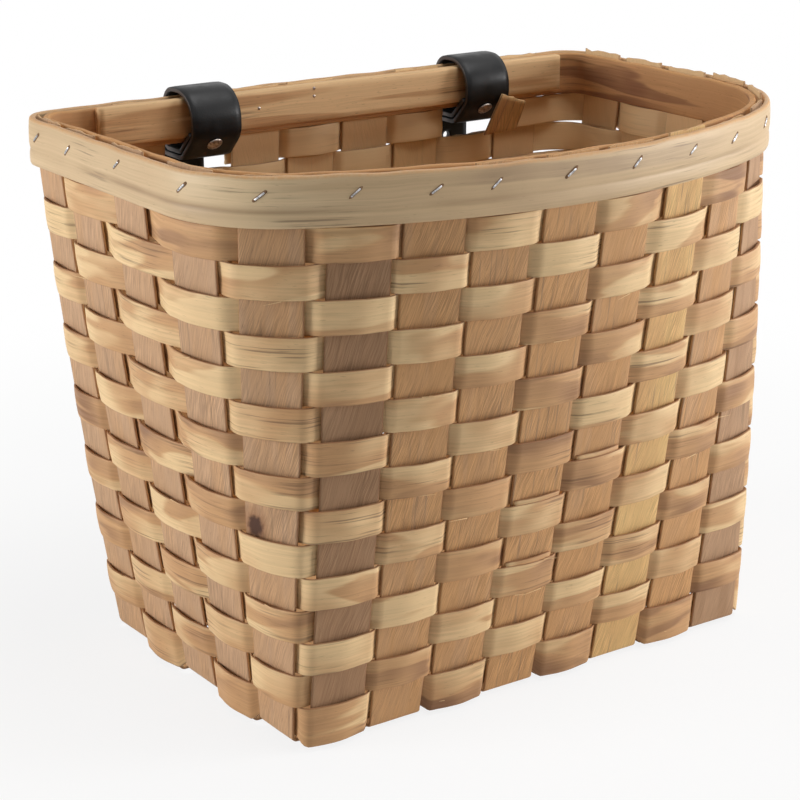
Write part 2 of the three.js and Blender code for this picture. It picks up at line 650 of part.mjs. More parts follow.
// The prong: an eye that turns on the buckle's lower bar, and a flat tongue past its upper bar.
function buckleProng() {
  const flat = Math.cos(Math.PI / ROUND_SIDES);
  const holeRadius = (BUCKLE_BAR_RADIUS + PRONG_RUNNING_CLEARANCE) / flat;
  const eyeRadius = holeRadius + PRONG_EYE_WALL;
  const direction = Math.PI / 2 - prongLean;
  const spread = Math.asin(PRONG_THICKNESS / 2 / eyeRadius);
  const reach = buckleReach + BUCKLE_BAR_RADIUS;
  const outline = [];
  for (let k = 0; k <= ROUND_SIDES; k += 1) {
    const angle = direction + spread + (Math.PI * 2 - spread * 2) * k / ROUND_SIDES;
    outline.push(new THREE.Vector2(eyeRadius * Math.cos(angle), eyeRadius * Math.sin(angle)));
  }
  [-1, 1].forEach((side) => {
    const tip = new THREE.Vector2(reach, side * PRONG_THICKNESS / 2);
    outline.push(tip.rotateAround(new THREE.Vector2(), direction));
  });
  const hole = [];
  for (let k = 0; k < ROUND_SIDES; k += 1) {
    const angle = k / ROUND_SIDES * Math.PI * 2;
    hole.push(new THREE.Vector2(holeRadius * Math.cos(angle), holeRadius * Math.sin(angle)));
  }
  return acrossX(outline, PRONG_WIDTH, [hole]).translate(0, barY, barZ);
}

// A domed rivet whose head lies inside the basket and whose shank fills the hole in both layers.
function strapRivet() {
  const headBase = STRAP_THICKNESS / 2 + SEAT_GAP;
  const profile = [
    [0, rivetLength - STRAP_THICKNESS / 2],
    [RIVET_SHANK_RADIUS, rivetLength - STRAP_THICKNESS / 2],
    [RIVET_SHANK_RADIUS, -headBase],
  ].map(([r, h]) => new THREE.Vector2(r, h));
  for (let s = 0; s < DOME_STEPS; s += 1) {
    const angle = s / DOME_STEPS * Math.PI / 2;
    const height = headBase + RIVET_HEAD_HEIGHT * Math.sin(angle);
    profile.push(new THREE.Vector2(RIVET_HEAD_RADIUS * Math.cos(angle), -height));
  }
  profile.push(new THREE.Vector2(0, -headBase - RIVET_HEAD_HEIGHT));
  const geometry = new THREE.LatheGeometry(profile, ROUND_SIDES);
  const axis = new THREE.Vector3(0, rivetAlong.x, rivetAlong.y);
  geometry.applyQuaternion(new THREE.Quaternion().setFromUnitVectors(new THREE.Vector3(0, 1, 0), axis));
  return facingOut(geometry).translate(0, rivetCentre.x, rivetCentre.y);
}

// The straight lath inside the back rim, which the straps bear on.
function backLath() {
  const left = backLeftX + LATH_LEFT_GAP;
  const right = backRightX - LATH_RIGHT_GAP;
  const middleY = lathInnerY + LATH_THICKNESS / 2;
  const geometry = new THREE.BoxGeometry(right - left, LATH_THICKNESS, LATH_HEIGHT);
  return geometry.translate((left + right) / 2, middleY, lathBottomZ + LATH_HEIGHT / 2);
}

// Finishes
function finish(color, roughness, metalness) {
  return () => new THREE.MeshStandardMaterial({ color, roughness, metalness });
}

const stakeWood = finish('#a8795a', 0.8, 0);
const weaverWood = finish('#d9b383', 0.7, 0);
const bandWood = finish('#d8c29b', 0.6, 0);
const hoopWood = finish('#bd8d5c', 0.75, 0);
const blackLeather = finish('#17171a', 0.45, 0);
const buckleSteel = finish('#b9babc', 0.3, 1);
const rivetMetal = finish('#8c7d72', 0.35, 1);

const basket = new THREE.Group();

function add(name, geometry, material, x = 0) {
  const mesh = new THREE.Mesh(geometry, material());
  mesh.name = name;
  mesh.position.x = x;
  basket.add(mesh);
}

const twoDigits = (n) => String(n).padStart(2, '0');
for (let k = 0; k < FRONT_STAKES; k += 1) {
  add(`front_to_back_stake_${k + 1}`, frontToBackStake(k), stakeWood);
}
for (let j = 0; j < SIDE_STAKES; j += 1) {
  add(`side_to_side_stake_${j + 1}`, sideToSideStake(j), stakeWood);
}

// The top row is cut at the two strap slots, and every other row goes all the way round.
const [rightSlot, leftSlot] = slotWalls.map((wall) => walls.indexOf(wall)).sort((a, b) => a - b);
const backRun = leftSlot - rightSlot - 1;
add('weaver_row_01_front', weaver(1, leftSlot + 1, walls.length - backRun - 2), weaverWood);
add('weaver_row_01_back', weaver(1, rightSlot + 1, backRun), weaverWood);
for (let row = 2; row <= WEAVER_ROWS; row += 1) {
  add(`weaver_row_${twoDigits(row)}`, weaver(row, 0, walls.length), weaverWood);
}

add('outer_rim_band', rimRing(rimInset, rimInset + BAND_THICKNESS, rimBottomZ, RIM_HEIGHT), bandWood);
add('inner_rim_hoop', rimRing(-rimInset - HOOP_THICKNESS, -rimInset, rimBottomZ, RIM_HEIGHT), hoopWood);
add('back_lath', backLath(), hoopWood);

['left', 'right'].forEach((side, n) => {
  const x = backWall(SLOT_STAKES[n]).head.x;
  add(`${side}_strap`, strap(), blackLeather, x);
  add(`${side}_strap_rivet`, strapRivet(), rivetMetal, x);
  add(`${side}_buckle_frame`, buckleFrame(), buckleSteel, x);
  add(`${side}_buckle_prong`, buckleProng(), buckleSteel, x);
});

// The origin is on the ground under the middle of the whole basket.
const box = new THREE.Box3().setFromObject(basket);
const middle = box.getCenter(new THREE.Vector3());
basket.position.set(-middle.x, -middle.y, -box.min.z);

export default basket;
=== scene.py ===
# A woven splint bicycle basket with two leather straps, dressed round its solids. Lengths are in metres.
import math
import random

import bpy
import numpy as np
from mathutils import Matrix, Vector


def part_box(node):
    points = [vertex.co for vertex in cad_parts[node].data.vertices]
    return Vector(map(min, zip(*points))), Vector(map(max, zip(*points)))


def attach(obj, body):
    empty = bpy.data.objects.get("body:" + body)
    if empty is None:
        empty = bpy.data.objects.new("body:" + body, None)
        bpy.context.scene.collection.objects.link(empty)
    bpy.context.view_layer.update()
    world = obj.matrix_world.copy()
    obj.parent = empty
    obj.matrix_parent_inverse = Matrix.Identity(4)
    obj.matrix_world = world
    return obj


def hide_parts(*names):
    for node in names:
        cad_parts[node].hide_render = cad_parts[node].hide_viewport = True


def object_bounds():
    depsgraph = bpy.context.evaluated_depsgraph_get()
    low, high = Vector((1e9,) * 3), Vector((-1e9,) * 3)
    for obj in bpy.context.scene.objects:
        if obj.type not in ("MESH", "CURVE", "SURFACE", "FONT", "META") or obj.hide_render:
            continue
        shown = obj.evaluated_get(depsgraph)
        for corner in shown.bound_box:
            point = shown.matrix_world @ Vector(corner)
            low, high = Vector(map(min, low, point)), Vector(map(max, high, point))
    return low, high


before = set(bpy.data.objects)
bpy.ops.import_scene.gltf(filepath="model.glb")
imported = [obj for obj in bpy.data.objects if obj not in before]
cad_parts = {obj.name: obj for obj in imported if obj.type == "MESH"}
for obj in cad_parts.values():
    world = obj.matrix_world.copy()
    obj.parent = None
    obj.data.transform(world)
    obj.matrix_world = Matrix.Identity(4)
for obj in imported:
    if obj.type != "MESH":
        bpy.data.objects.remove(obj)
cad_low, cad_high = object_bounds()

# Splints
FRONT_STAKES = 8
SIDE_STAKES = 5
STAKE_WIDTH = 0.026
STAKE_THICKNESS = 0.0012
WEAVER_ROWS = 15
WEAVER_THICKNESS = 0.0012
WEAVE_HEIGHT = 0.00145
WEAVER_PILLOW = 0.0016
WEAVER_CROWN = 0.0004
WALL_BELLY = 0.002
WALL_FOOT = 0.0039
SLOT_END_OVERRUN = 0.0015
SLOT_STAKES = (1, 6)
LOWEST_ROW_DROOP = 0.0037

# Base weave
BASE_FRONT_PITCH = 0.030
BASE_SIDE_PITCH = 0.0315
BASE_LEVEL = 0.0021
BASE_STEP = 0.0015
BASE_FOLD_RADIUS = 0.0018

# Rim: how far its middle line stands out past the base, the arcs of its plan, the gaps between its stakes
LEFT_FLARE = 0.0238
RIGHT_FLARE = 0.0367
FRONT_FLARE = 0.0275
BACK_FLARE = 0.0154
FRONT_BOW_RADIUS = 0.253
LEFT_CORNER_RADIUS = 0.051
RIGHT_CORNER_RADIUS = 0.0825
BACK_CORNER_RADIUS = 0.014
RIM_STANDOFF = 0.0047
RIM_FRONT_START = 0.098
RIM_FRONT_GAPS = (0.004, 0.0035, 0.006, 0.0055, 0.01, 0.0105, 0.009)
RIM_LEFT_GAPS = (0.0087, 0.0099, 0.022, 0.0158, 0.005)
RIM_RIGHT_GAP = 0.0054
RIM_BACK_PITCH = 0.0306
BACK_STAKE_SHIFT = 0.0145
RIM_STEP = 0.0025

# Straps, buckles and rivets
STRAP_WIDTH = 0.0254
STRAP_THICKNESS = 0.0025
STRAP_LAYER = 0.0028
STRAP_CROWN = 0.0006
STRAP_SLOT_CLEARANCE = 0.0026
STRAP_BULGE = 0.0061
STRAP_RISE = 0.0022
STRAP_STANDOFF = 0.0028
LATH_CORNER_CLEARANCE = 0.00036
RIVETED_END_RUN = 0.00905
STRAP_TURN_RADIUS = 0.008
STRAP_CREST_RADIUS = 0.013
STRAP_TAIL_DROP = 0.047
STRAP_STEP = 0.0015
TAIL_TIP_CUT = 0.007
BUCKLE_LIFT = 0.0006
BUCKLE_BAR_RADIUS = 0.0018
BUCKLE_SIDE_CLEARANCE = 0.0008
BUCKLE_CORNER = 0.003
BUCKLE_WINDOW_SPARE = 0.0035
SEAT_GAP = 0.0003
PRONG_WIDTH = 0.0026
PRONG_WIRE = 0.0014
PRONG_SLOT_CLEARANCE = 0.0006
PUNCH_RADIUS = 0.002
PUNCH_PITCH = 0.0115
PUNCH_COUNT = 3
RIVET_HEAD_RADIUS = 0.00375
RIVET_HEAD_HEIGHT = 0.0014
RIVET_SHANK_RADIUS = 0.0016
RIVET_FROM_BEND = 0.0109

# Sizes read from the frame
band_low, band_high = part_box("outer_rim_band")
lath_low, lath_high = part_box("back_lath")
rim_bottom = band_low.z
rim_top = band_high.z
rim_left_x = band_low.x + RIM_STANDOFF
rim_right_x = band_high.x - RIM_STANDOFF
rim_back_y = band_high.y - RIM_STANDOFF
rim_front_y = band_low.y + RIM_STANDOFF
rim_corner_y = rim_back_y - BACK_CORNER_RADIUS
base_left_x = rim_left_x + LEFT_FLARE
base_right_x = rim_right_x - RIGHT_FLARE
base_back_y = rim_back_y - BACK_FLARE
base_front_y = rim_front_y + FRONT_FLARE
base_middle_x = (base_left_x + base_right_x) / 2
base_middle_y = (base_front_y + base_back_y) / 2


def weaver_node(row):
    return f"weaver_row_{row:02d}" if row > 1 else "weaver_row_01_front"


def row_heights(row):
    low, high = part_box(weaver_node(row))
    return low.z, high.z


# Small helpers for arrays, lines and objects

def unit(vectors):
    return vectors / np.linalg.norm(vectors, axis=-1, keepdims=True)


def smooth(t):
    return t * t * (3 - 2 * t)


def lifted(points, z):
    return np.column_stack([points, np.full(len(points), z)])


def columns(rows):
    """The columns of a list of rows, each as an array."""
    return [np.array(column, float) for column in zip(*rows)]


def running_length(points):
    """How far along a line each of its points is."""
    return np.concatenate([[0], np.cumsum(np.linalg.norm(np.diff(points, axis=0), axis=1))])


def wander(distance, length, seed, waves=(3, 7, 12, 19)):
    """A smooth line of about unit height that closes on itself after a length."""
    draw = random.Random(seed)
    total = np.zeros(len(distance))
    for count in waves:
        phase = draw.uniform(0, math.tau)
        total += np.sin(distance / length * math.tau * count + phase) * draw.uniform(0.3, 0.7)
    return total / math.sqrt(len(waves))


def linked(name, data):
    """A new object in the scene."""
    obj = bpy.data.objects.new(name, data)
    bpy.context.scene.collection.objects.link(obj)
    return obj


# The rim's middle line

def arc(x, y, radius, start, end, steps=300):
    angle = np.linspace(start, end, steps)
    return np.column_stack([x + radius * np.cos(angle), y + radius * np.sin(angle)])


def rim_half(side_x, corner_radius, side):
    """One half of the rim, from the front's bow round both corners to the middle of the back."""
    bow_y = rim_front_y + FRONT_BOW_RADIUS
    corner_x = side_x - side * corner_radius
    across = corner_x - base_middle_x
    down = math.sqrt((FRONT_BOW_RADIUS - corner_radius) ** 2 - across ** 2)
    meet = math.atan2(-down, across)
    side_angle = 0 if side > 0 else -math.pi
    points = np.concatenate([
        arc(base_middle_x, bow_y, FRONT_BOW_RADIUS, -math.pi / 2, meet)[:-1],
        arc(corner_x, bow_y - down, corner_radius, meet, side_angle),
        arc(side_x - side * BACK_CORNER_RADIUS, rim_corner_y, BACK_CORNER_RADIUS, side_angle,
            side_angle + side * math.pi / 2),
        [[base_middle_x, rim_back_y]],
    ])
    return points, running_length(points)


right_points, right_lengths = rim_half(rim_right_x, RIGHT_CORNER_RADIUS, 1)
left_points, left_lengths = rim_half(rim_left_x, LEFT_CORNER_RADIUS, -1)
rim_line = np.concatenate([left_points[:0:-1], right_points])
rim_lengths = np.concatenate([-left_lengths[:0:-1], right_lengths])
rim_start, rim_end = rim_lengths[0], rim_lengths[-1]


def rim_points(distance):
    """Points on the rim's middle line, by distance from the front's middle, left if negative."""
    return np.stack([np.interp(distance, rim_lengths, rim_line[:, c]) for c in (0, 1)], -1)


def rim_outward(distance, reach=0.002):
    along = unit(rim_points(distance + reach) - rim_points(distance - reach))
    return np.stack([along[:, 1], -along[:, 0]], -1)


# Walls: 26 stake places in order, the front from left to right, then the right side, back and left side

def rim_head(distance):
    half = STAKE_WIDTH / 2
    before, middle, after = rim_points(np.array([distance - half, distance, distance + half]))
    return ((before + after) / 2 + middle) / 2, unit(after - before)


def stake_places(first, gaps):
    """How far along the rim each stake stands, from the first one and the gaps between them."""
    return first + np.concatenate([[0], np.cumsum(np.array(gaps) + STAKE_WIDTH)])


front_places = stake_places(-RIM_FRONT_START, RIM_FRONT_GAPS)
left_places = -stake_places(RIM_FRONT_START, RIM_LEFT_GAPS)[1:]
right_places = stake_places(front_places[-1], [RIM_RIGHT_GAP] * SIDE_STAKES)[1:]


def wall_stakes():
    """Each stake place's foot and head, with the direction along the wall at both."""
    front_span = (FRONT_STAKES - 1) / 2
    side_span = (SIDE_STAKES - 1) / 2
    foot_x = [base_middle_x + (k - front_span) * BASE_FRONT_PITCH for k in range(FRONT_STAKES)]
    foot_y = [base_middle_y + (j - side_span) * BASE_SIDE_PITCH for j in range(SIDE_STAKES)]
    places = []
    for k in range(FRONT_STAKES):
        places.append(((foot_x[k], base_front_y), (1, 0), *rim_head(front_places[k])))
    for j in range(SIDE_STAKES):
        places.append(((base_right_x, foot_y[j]), (0, 1), *rim_head(right_places[j])))
    for k in reversed(range(FRONT_STAKES)):
        head = (base_middle_x + (k - front_span) * RIM_BACK_PITCH + BACK_STAKE_SHIFT, rim_back_y)
        places.append(((foot_x[k], base_back_y), (-1, 0), head, (-1, 0)))
    for j in reversed(range(SIDE_STAKES)):
        places.append(((base_left_x, foot_y[j]), (0, -1), *rim_head(left_places[j])))
    return columns(places)


foot, foot_along, head, head_along = wall_stakes()
WALLS = len(foot)
front_wall = list(range(FRONT_STAKES))
right_wall = [FRONT_STAKES + j for j in range(SIDE_STAKES)]
back_wall = [2 * FRONT_STAKES + SIDE_STAKES - 1 - k for k in range(FRONT_STAKES)]
left_wall = [WALLS - 1 - j for j in range(SIDE_STAKES)]
slot_walls = [back_wall[k] for k in SLOT_STAKES]


def walls_at(z):
    """Middles, directions along and directions out of all wall stakes at a height."""
    t = min(max((z - WALL_FOOT) / (rim_bottom - WALL_FOOT), 0), 1)
    along = unit(foot_along * (1 - t) + head_along * t)
    out = np.stack([along[:, 1], -along[:, 0]], -1)
    middle = foot * (1 - t) + head * t + out * (WALL_BELLY * 4 * t * (1 - t))
    return middle, along, out


# Node trees

def put(tree, kind, inputs=None, **settings):
    """Adds a node, sets its properties, and sets or links its inputs by name or number."""
    made = tree.nodes.new(kind)
    for name, value in settings.items():
        setattr(made, name, value)
    for key, value in (inputs or {}).items():
        if isinstance(value, bpy.types.NodeSocket):
            tree.links.new(value, made.inputs[key])
        else:
            made.inputs[key].default_value = value
    return made


def chained(tree, operation, *terms):
    """The terms, taken together two by two from the first one on."""
    total = terms[0]
    for term in terms[1:]:
        total = put(tree, "ShaderNodeMath", {0: total, 1: term}, operation=operation).outputs[0]
    return total


def sum_of(tree, *terms):
    return chained(tree, "ADD", *terms)


def product(tree, *terms):
    return chained(tree, "MULTIPLY", *terms)


def centred(tree, value):
    """A noise of 0 to 1, moved to lie about zero."""
    return sum_of(tree, value, -0.5)


def scaled(tree, vector, factor):
    inputs = {"Vector": vector, "Scale": factor}
    return put(tree, "ShaderNodeVectorMath", inputs, operation="SCALE").outputs["Vector"]


def vector_sum(tree, a, b):
    return put(tree, "ShaderNodeVectorMath", {0: a, 1: b}, operation="ADD").outputs["Vector"]


def vector_length(tree, vector):
    return put(tree, "ShaderNodeVectorMath", {0: vector}, operation="LENGTH").outputs["Value"]


def combined(tree, x, y, z):
    return put(tree, "ShaderNodeCombineXYZ", {"X": x, "Y": y, "Z": z}).outputs["Vector"]


def separated(tree, vector):
    return put(tree, "ShaderNodeSeparateXYZ", {0: vector}).outputs


def noise(tree, vector, detail=2.0, roughness=0.5, distortion=0.0):
    inputs = {
        "Vector": vector, "Scale": 1.0, "Detail": detail, "Roughness": roughness, "Distortion": distortion,
    }
    return put(tree, "ShaderNodeTexNoise", inputs).outputs[0]


def ramp(tree, value, low, high, to_low=0.0, to_high=1.0):
    inputs = {"Value": value, "From Min": low, "From Max": high, "To Min": to_low, "To Max": to_high}
    return put(tree, "ShaderNodeMapRange", inputs, interpolation_type="SMOOTHSTEP").outputs[0]


def interface(tree, sockets):
    """Gives a tree its named sockets and returns its group input and output nodes."""
    for name, direction, kind, default in sockets:
        made = tree.interface.new_socket(name=name, in_out=direction, socket_type=kind)
        if default is not None:
            made.default_value = default
    return tree.nodes.new("NodeGroupInput"), tree.nodes.new("NodeGroupOutput")


def float_in(name, default=0.0):
    return (name, "INPUT", "NodeSocketFloat", default)


def seed_in(default):
    return ("Seed", "INPUT", "NodeSocketInt", default)


def shape_tree(name, *sockets):
    """A tree from geometry and a material to geometry, with its other inputs' values and its output node."""
    tree = bpy.data.node_groups.new(name, "GeometryNodeTree")
    group_in, group_out = interface(tree, [
        ("Geometry", "INPUT", "NodeSocketGeometry", None), *sockets,
        ("Material", "INPUT", "NodeSocketMaterial", None), ("Geometry", "OUTPUT", "NodeSocketGeometry", None),
    ])
    return tree, group_in.outputs, group_out


def end_in_material(tree, geometry, size, group_out):
    real = put(tree, "GeometryNodeRealizeInstances", {0: geometry})
    inputs = {"Geometry": real.outputs[0], "Material": size["Material"]}
    painted = put(tree, "GeometryNodeSetMaterial", inputs)
    tree.links.new(painted.outputs[0], group_out.inputs[0])


def named_value(tree, name, data_type="FLOAT"):
    return put(tree, "GeometryNodeInputNamedAttribute", {"Name": name}, data_type=data_type).outputs[0]


def smooth_shaded(tree, geometry):
    return put(tree, "GeometryNodeSetShadeSmooth", {0: geometry}).outputs[0]


def on_points(tree, size, instance, rotation, **more):
    """The instance on each point of the tree's geometry."""
    inputs = {"Points": size["Geometry"], "Instance": instance.outputs[0], "Rotation": rotation.outputs[0]}
    return put(tree, "GeometryNodeInstanceOnPoints", {**inputs, **more}).outputs[0]


def turned_to_facing(tree):
    """The turn that lays an instance's Z axis along the direction that its point gives."""
    facing = named_value(tree, "facing", "FLOAT_VECTOR")
    return put(tree, "FunctionNodeAlignRotationToVector", {"Vector": facing}, axis="Z")


# Splint shapes: how fast the noises change, per metre along a splint or per half width across it
WARP_PER_METRE = 34.0
WARP_ACROSS = 0.5
EDGE_PER_METRE = 48.0
EDGE_SIDE_SHIFT = 3.7
RAGGED_ACROSS = 4.5
RAGGED_SHIFT = 0.3


def splint_tree():
    """Shapes a flat splint: over and under, pillowed between its crossings, with uneven edges and ends."""
    names = ("Weave Height", "Pillow", "Thickness", "Crown", "Edge Wander", "Warp", "Ragged End", "Seed")
    tree, size, group_out = shape_tree("splint shape", *(float_in(name) for name in names))

    def line_noise(x, y, z, detail=2.0):
        return sum_of(tree, product(tree, noise(tree, combined(tree, x, y, z), detail), 2.0), -1.0)

    across, along, wave = (named_value(tree, name) for name in ("across", "along", "wave"))
    side = put(tree, "ShaderNodeMath", {0: across}, operation="SIGN").outputs[0]
    cup = sum_of(tree, 1.0, product(tree, across, across, -1.0))
    warp = line_noise(product(tree, along, WARP_PER_METRE), product(tree, across, WARP_ACROSS), size["Seed"])
    edge = line_noise(product(tree, along, EDGE_PER_METRE), product(tree, side, EDGE_SIDE_SHIFT),
                      size["Seed"], 4.0)
    ragged = line_noise(product(tree, across, RAGGED_ACROSS), size["Seed"], RAGGED_SHIFT, 5.0)
    outward = sum_of(
        tree, product(tree, wave, size["Weave Height"]),
        product(tree, named_value(tree, "pillow"), size["Pillow"]),
        product(tree, named_value(tree, "face"), size["Thickness"], 0.5),
        product(tree, wave, cup, size["Crown"]), product(tree, warp, size["Warp"]),
    )
    offset = None
    for name, amount in (("out", outward), ("up", product(tree, across, edge, size["Edge Wander"])),
                         ("run", product(tree, ragged, size["Ragged End"]))):
        move = scaled(tree, named_value(tree, name, "FLOAT_VECTOR"), amount)
        offset = move if offset is None else vector_sum(tree, offset, move)
    moved = put(tree, "GeometryNodeSetPosition", {"Geometry": size["Geometry"], "Offset": offset})
    end_in_material(tree, moved.outputs[0], size, group_out)
    return tree


STAPLE_STEPS = 15
STAPLE_BEND = 8.0
WIRE_SIDES = 8


def staple_tree():
    """Wire staples, one on each point, turned to lie aslant on the surface that the point faces from."""
    tree, size, group_out = shape_tree(
        "wire staples", float_in("Length", 0.006), float_in("Wire", 0.00048), float_in("Leg", 0.0014),
        float_in("Slant", 0.66), float_in("Slant Spread", 0.2), seed_in(4),
    )
    half = product(tree, size["Length"], 0.5)
    start = combined(tree, product(tree, half, -1.0), 0.0, 0.0)
    end = combined(tree, half, 0.0, 0.0)
    crown = put(tree, "GeometryNodeCurvePrimitiveLine", {"Start": start, "End": end})
    steps = put(tree, "GeometryNodeResampleCurve", {"Curve": crown.outputs[0], "Count": STAPLE_STEPS})
    place = separated(tree, put(tree, "GeometryNodeInputPosition").outputs[0])
    drop = chained(tree, "POWER", chained(tree, "DIVIDE", place["X"], half), STAPLE_BEND)
    down = combined(tree, 0.0, 0.0, product(tree, drop, size["Leg"], -1.0))
    bent = put(tree, "GeometryNodeSetPosition", {"Geometry": steps.outputs[0], "Offset": down})
    round_inputs = {"Resolution": WIRE_SIDES, "Radius": size["Wire"]}
    round_wire = put(tree, "GeometryNodeCurvePrimitiveCircle", round_inputs)
    wire = put(tree, "GeometryNodeCurveToMesh", {
        "Curve": bent.outputs[0], "Profile Curve": round_wire.outputs[0], "Fill Caps": True,
    })
    level = put(tree, "FunctionNodeAxesToRotation", {
        "Primary Axis": named_value(tree, "facing", "FLOAT_VECTOR"), "Secondary Axis": (0.0, 0.0, 1.0),
    }, primary_axis="Z", secondary_axis="Y")
    spread = put(tree, "FunctionNodeRandomValue", {"Seed": size["Seed"]}, data_type="FLOAT").outputs[1]
    turn = sum_of(tree, size["Slant"], product(tree, centred(tree, spread), size["Slant Spread"]))
    slant = put(tree, "FunctionNodeAxisAngleToRotation", {"Axis": (0.0, 0.0, 1.0), "Angle": turn})
    rotation = put(tree, "FunctionNodeRotateRotation", {
        "Rotation": level.outputs[0], "Rotate By": slant.outputs[0],
    }, rotation_space="LOCAL")
    end_in_material(tree, smooth_shaded(tree, on_points(tree, size, wire, rotation)), size, group_out)
    return tree


SLIVER_TIP = 0.00004
SLIVER_SHORTEST, SLIVER_LONGEST = 0.5, 1.3


def sliver_tree():
    """Loose fibres: a thin tapering sliver on each point, lying along the direction that the point gives."""
    tree, size, group_out = shape_tree(
        "loose fibres", float_in("Length", 0.009), float_in("Width", 0.00022), seed_in(9),
    )
    fibre = put(tree, "GeometryNodeMeshCone", {
        "Vertices": 5, "Side Segments": 3, "Radius Top": SLIVER_TIP, "Radius Bottom": size["Width"],
        "Depth": size["Length"],
    })
    span = {2: SLIVER_SHORTEST, 3: SLIVER_LONGEST, "Seed": size["Seed"]}
    share = put(tree, "FunctionNodeRandomValue", span, data_type="FLOAT").outputs[1]
    fibres = on_points(tree, size, fibre, turned_to_facing(tree), Scale=combined(tree, 1.0, 1.0, share))
    end_in_material(tree, fibres, size, group_out)
    return tree


def nail_tree():
    """Small nail heads, one on each point, flat against the surface that the point faces from."""
    tree, size, group_out = shape_tree("nail heads", float_in("Radius", 0.0008), float_in("Rise", 0.4))
    nail = put(tree, "GeometryNodeMeshUVSphere", {"Segments": 14, "Rings": 8, "Radius": size["Radius"]})
    flat = combined(tree, 1.0, 1.0, size["Rise"])
    nails = on_points(tree, size, nail, turned_to_facing(tree), Scale=flat)
    end_in_material(tree, smooth_shaded(tree, nails), size, group_out)
    return tree


def set_inputs(modifier, values):
    """Sets a tree's inputs by their sockets' identifiers."""
    for item in modifier.node_group.interface.items_tree:
        if item.in_out == "INPUT" and item.name in values:
            modifier[item.identifier] = values[item.name]


def made_plain(obj):
    """Turns an object's evaluated shape into its own plain mesh, and removes its modifiers."""
    graph = bpy.context.evaluated_depsgraph_get()
    mesh = bpy.data.meshes.new_from_object(obj.evaluated_get(graph))
    obj.modifiers.clear()
    obj.data = mesh
    mesh.name = obj.name
    return obj


def grown(mesh, name, tree, values):
    """An object whose mesh is a node tree's result on a starting mesh."""
    obj = linked(name, mesh)
    modifier = obj.modifiers.new(tree.name, "NODES")
    modifier.node_group = tree
    set_inputs(modifier, values)
    return facing_out(made_plain(obj))


def signed_volume(mesh):
    mesh.calc_loop_triangles()
    place = np.empty(len(mesh.vertices) * 3)
    mesh.vertices.foreach_get("co", place)
    corner = np.empty(len(mesh.loop_triangles) * 3, int)
    mesh.loop_triangles.foreach_get("vertices", corner)
    a, b, c = place.reshape(-1, 3)[corner.reshape(-1, 3)].transpose(1, 0, 2)
    return np.einsum("ij,ij->", a, np.cross(b, c))


def facing_out(obj):
    if signed_volume(obj.data) < 0:
        obj.data.flip_normals()
    return obj


# Closed bodies through rows of sections

def loft_mesh(name, sections, ring, across, attributes=None):
    """A closed mesh through N sections of M points, mapped by the length along it and places across it."""
    count, sides = sections.shape[:2]
    spans = count if ring else count - 1
    number = np.arange(count * sides).reshape(count, sides)
    after = np.roll(number, -1, 0)[:spans]
    here = number[:spans]
    quads = np.stack([here, after, np.roll(after, -1, 1), np.roll(here, -1, 1)], -1).reshape(-1, 4).tolist()
    middle = sections.mean(1)
    steps = np.linalg.norm(np.roll(middle, -1, 0) - middle, axis=1)
    along = np.concatenate([[0], np.cumsum(steps)])
    u = np.stack([along[:spans], along[1:spans + 1], along[1:spans + 1], along[:spans]], -1)
    u = np.repeat(u[:, None, :], sides, 1)
    v = np.stack([across, across, np.roll(across, -1), np.roll(across, -1)], -1)
    v = np.repeat(v[None], spans, 0)
    maps = np.stack([u, v], -1).reshape(-1, 2)
    if not ring:
        half = sides // 2
        for section, turned in ((0, False), (count - 1, True)):
            for k in range(half - 1):
                quad = [k, k + 1, sides - 2 - k, sides - 1 - k]
                quad = quad[::-1] if turned else quad
                quads.append([int(number[section, q]) for q in quad])
                maps = np.concatenate([maps, np.stack([np.full(4, along[section]), across[quad]], -1)])
    mesh = bpy.data.meshes.new(name)
    mesh.from_pydata(sections.reshape(-1, 3).tolist(), [], quads)
    layer = mesh.uv_layers.new(name="strip")
    layer.data.foreach_set("uv", maps.ravel())
    for key, values in (attributes or {}).items():
        values = np.asarray(values, float)
        kind = "FLOAT_VECTOR" if values.ndim == 2 else "FLOAT"
        made = mesh.attributes.new(key, kind, "POINT")
        made.data.foreach_set("vector" if values.ndim == 2 else "value", values.ravel())
    mesh.shade_smooth()
    return mesh


def piece(name, mesh, material):
    obj = linked(name, mesh)
    mesh.materials.append(material)
    return facing_out(obj)


def worn(obj, body, slot, *nodes):
    """Rides a finished piece on its body and hides the solids that it stands for. Its slot is not used."""
    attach(obj, body)
    if nodes:
        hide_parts(*nodes)
    return obj


# Splints: the section runs up the outer face and down the inner face, with eased edges
EDGE_ACROSS = np.array([-1, -0.985, -0.94, -0.7, -0.35, 0, 0.35, 0.7, 0.94, 0.985, 1])
EDGE_FACE = np.array([0.35, 0.85, 1, 1, 1, 1, 1, 1, 1, 0.85, 0.35])
SECTION_ACROSS = np.concatenate([EDGE_ACROSS, EDGE_ACROSS[::-1]])
SECTION_FACE = np.concatenate([EDGE_FACE, -EDGE_FACE[::-1]])
INNER_FACE_SHIFT = 0.3
SEED_SPAN = 90


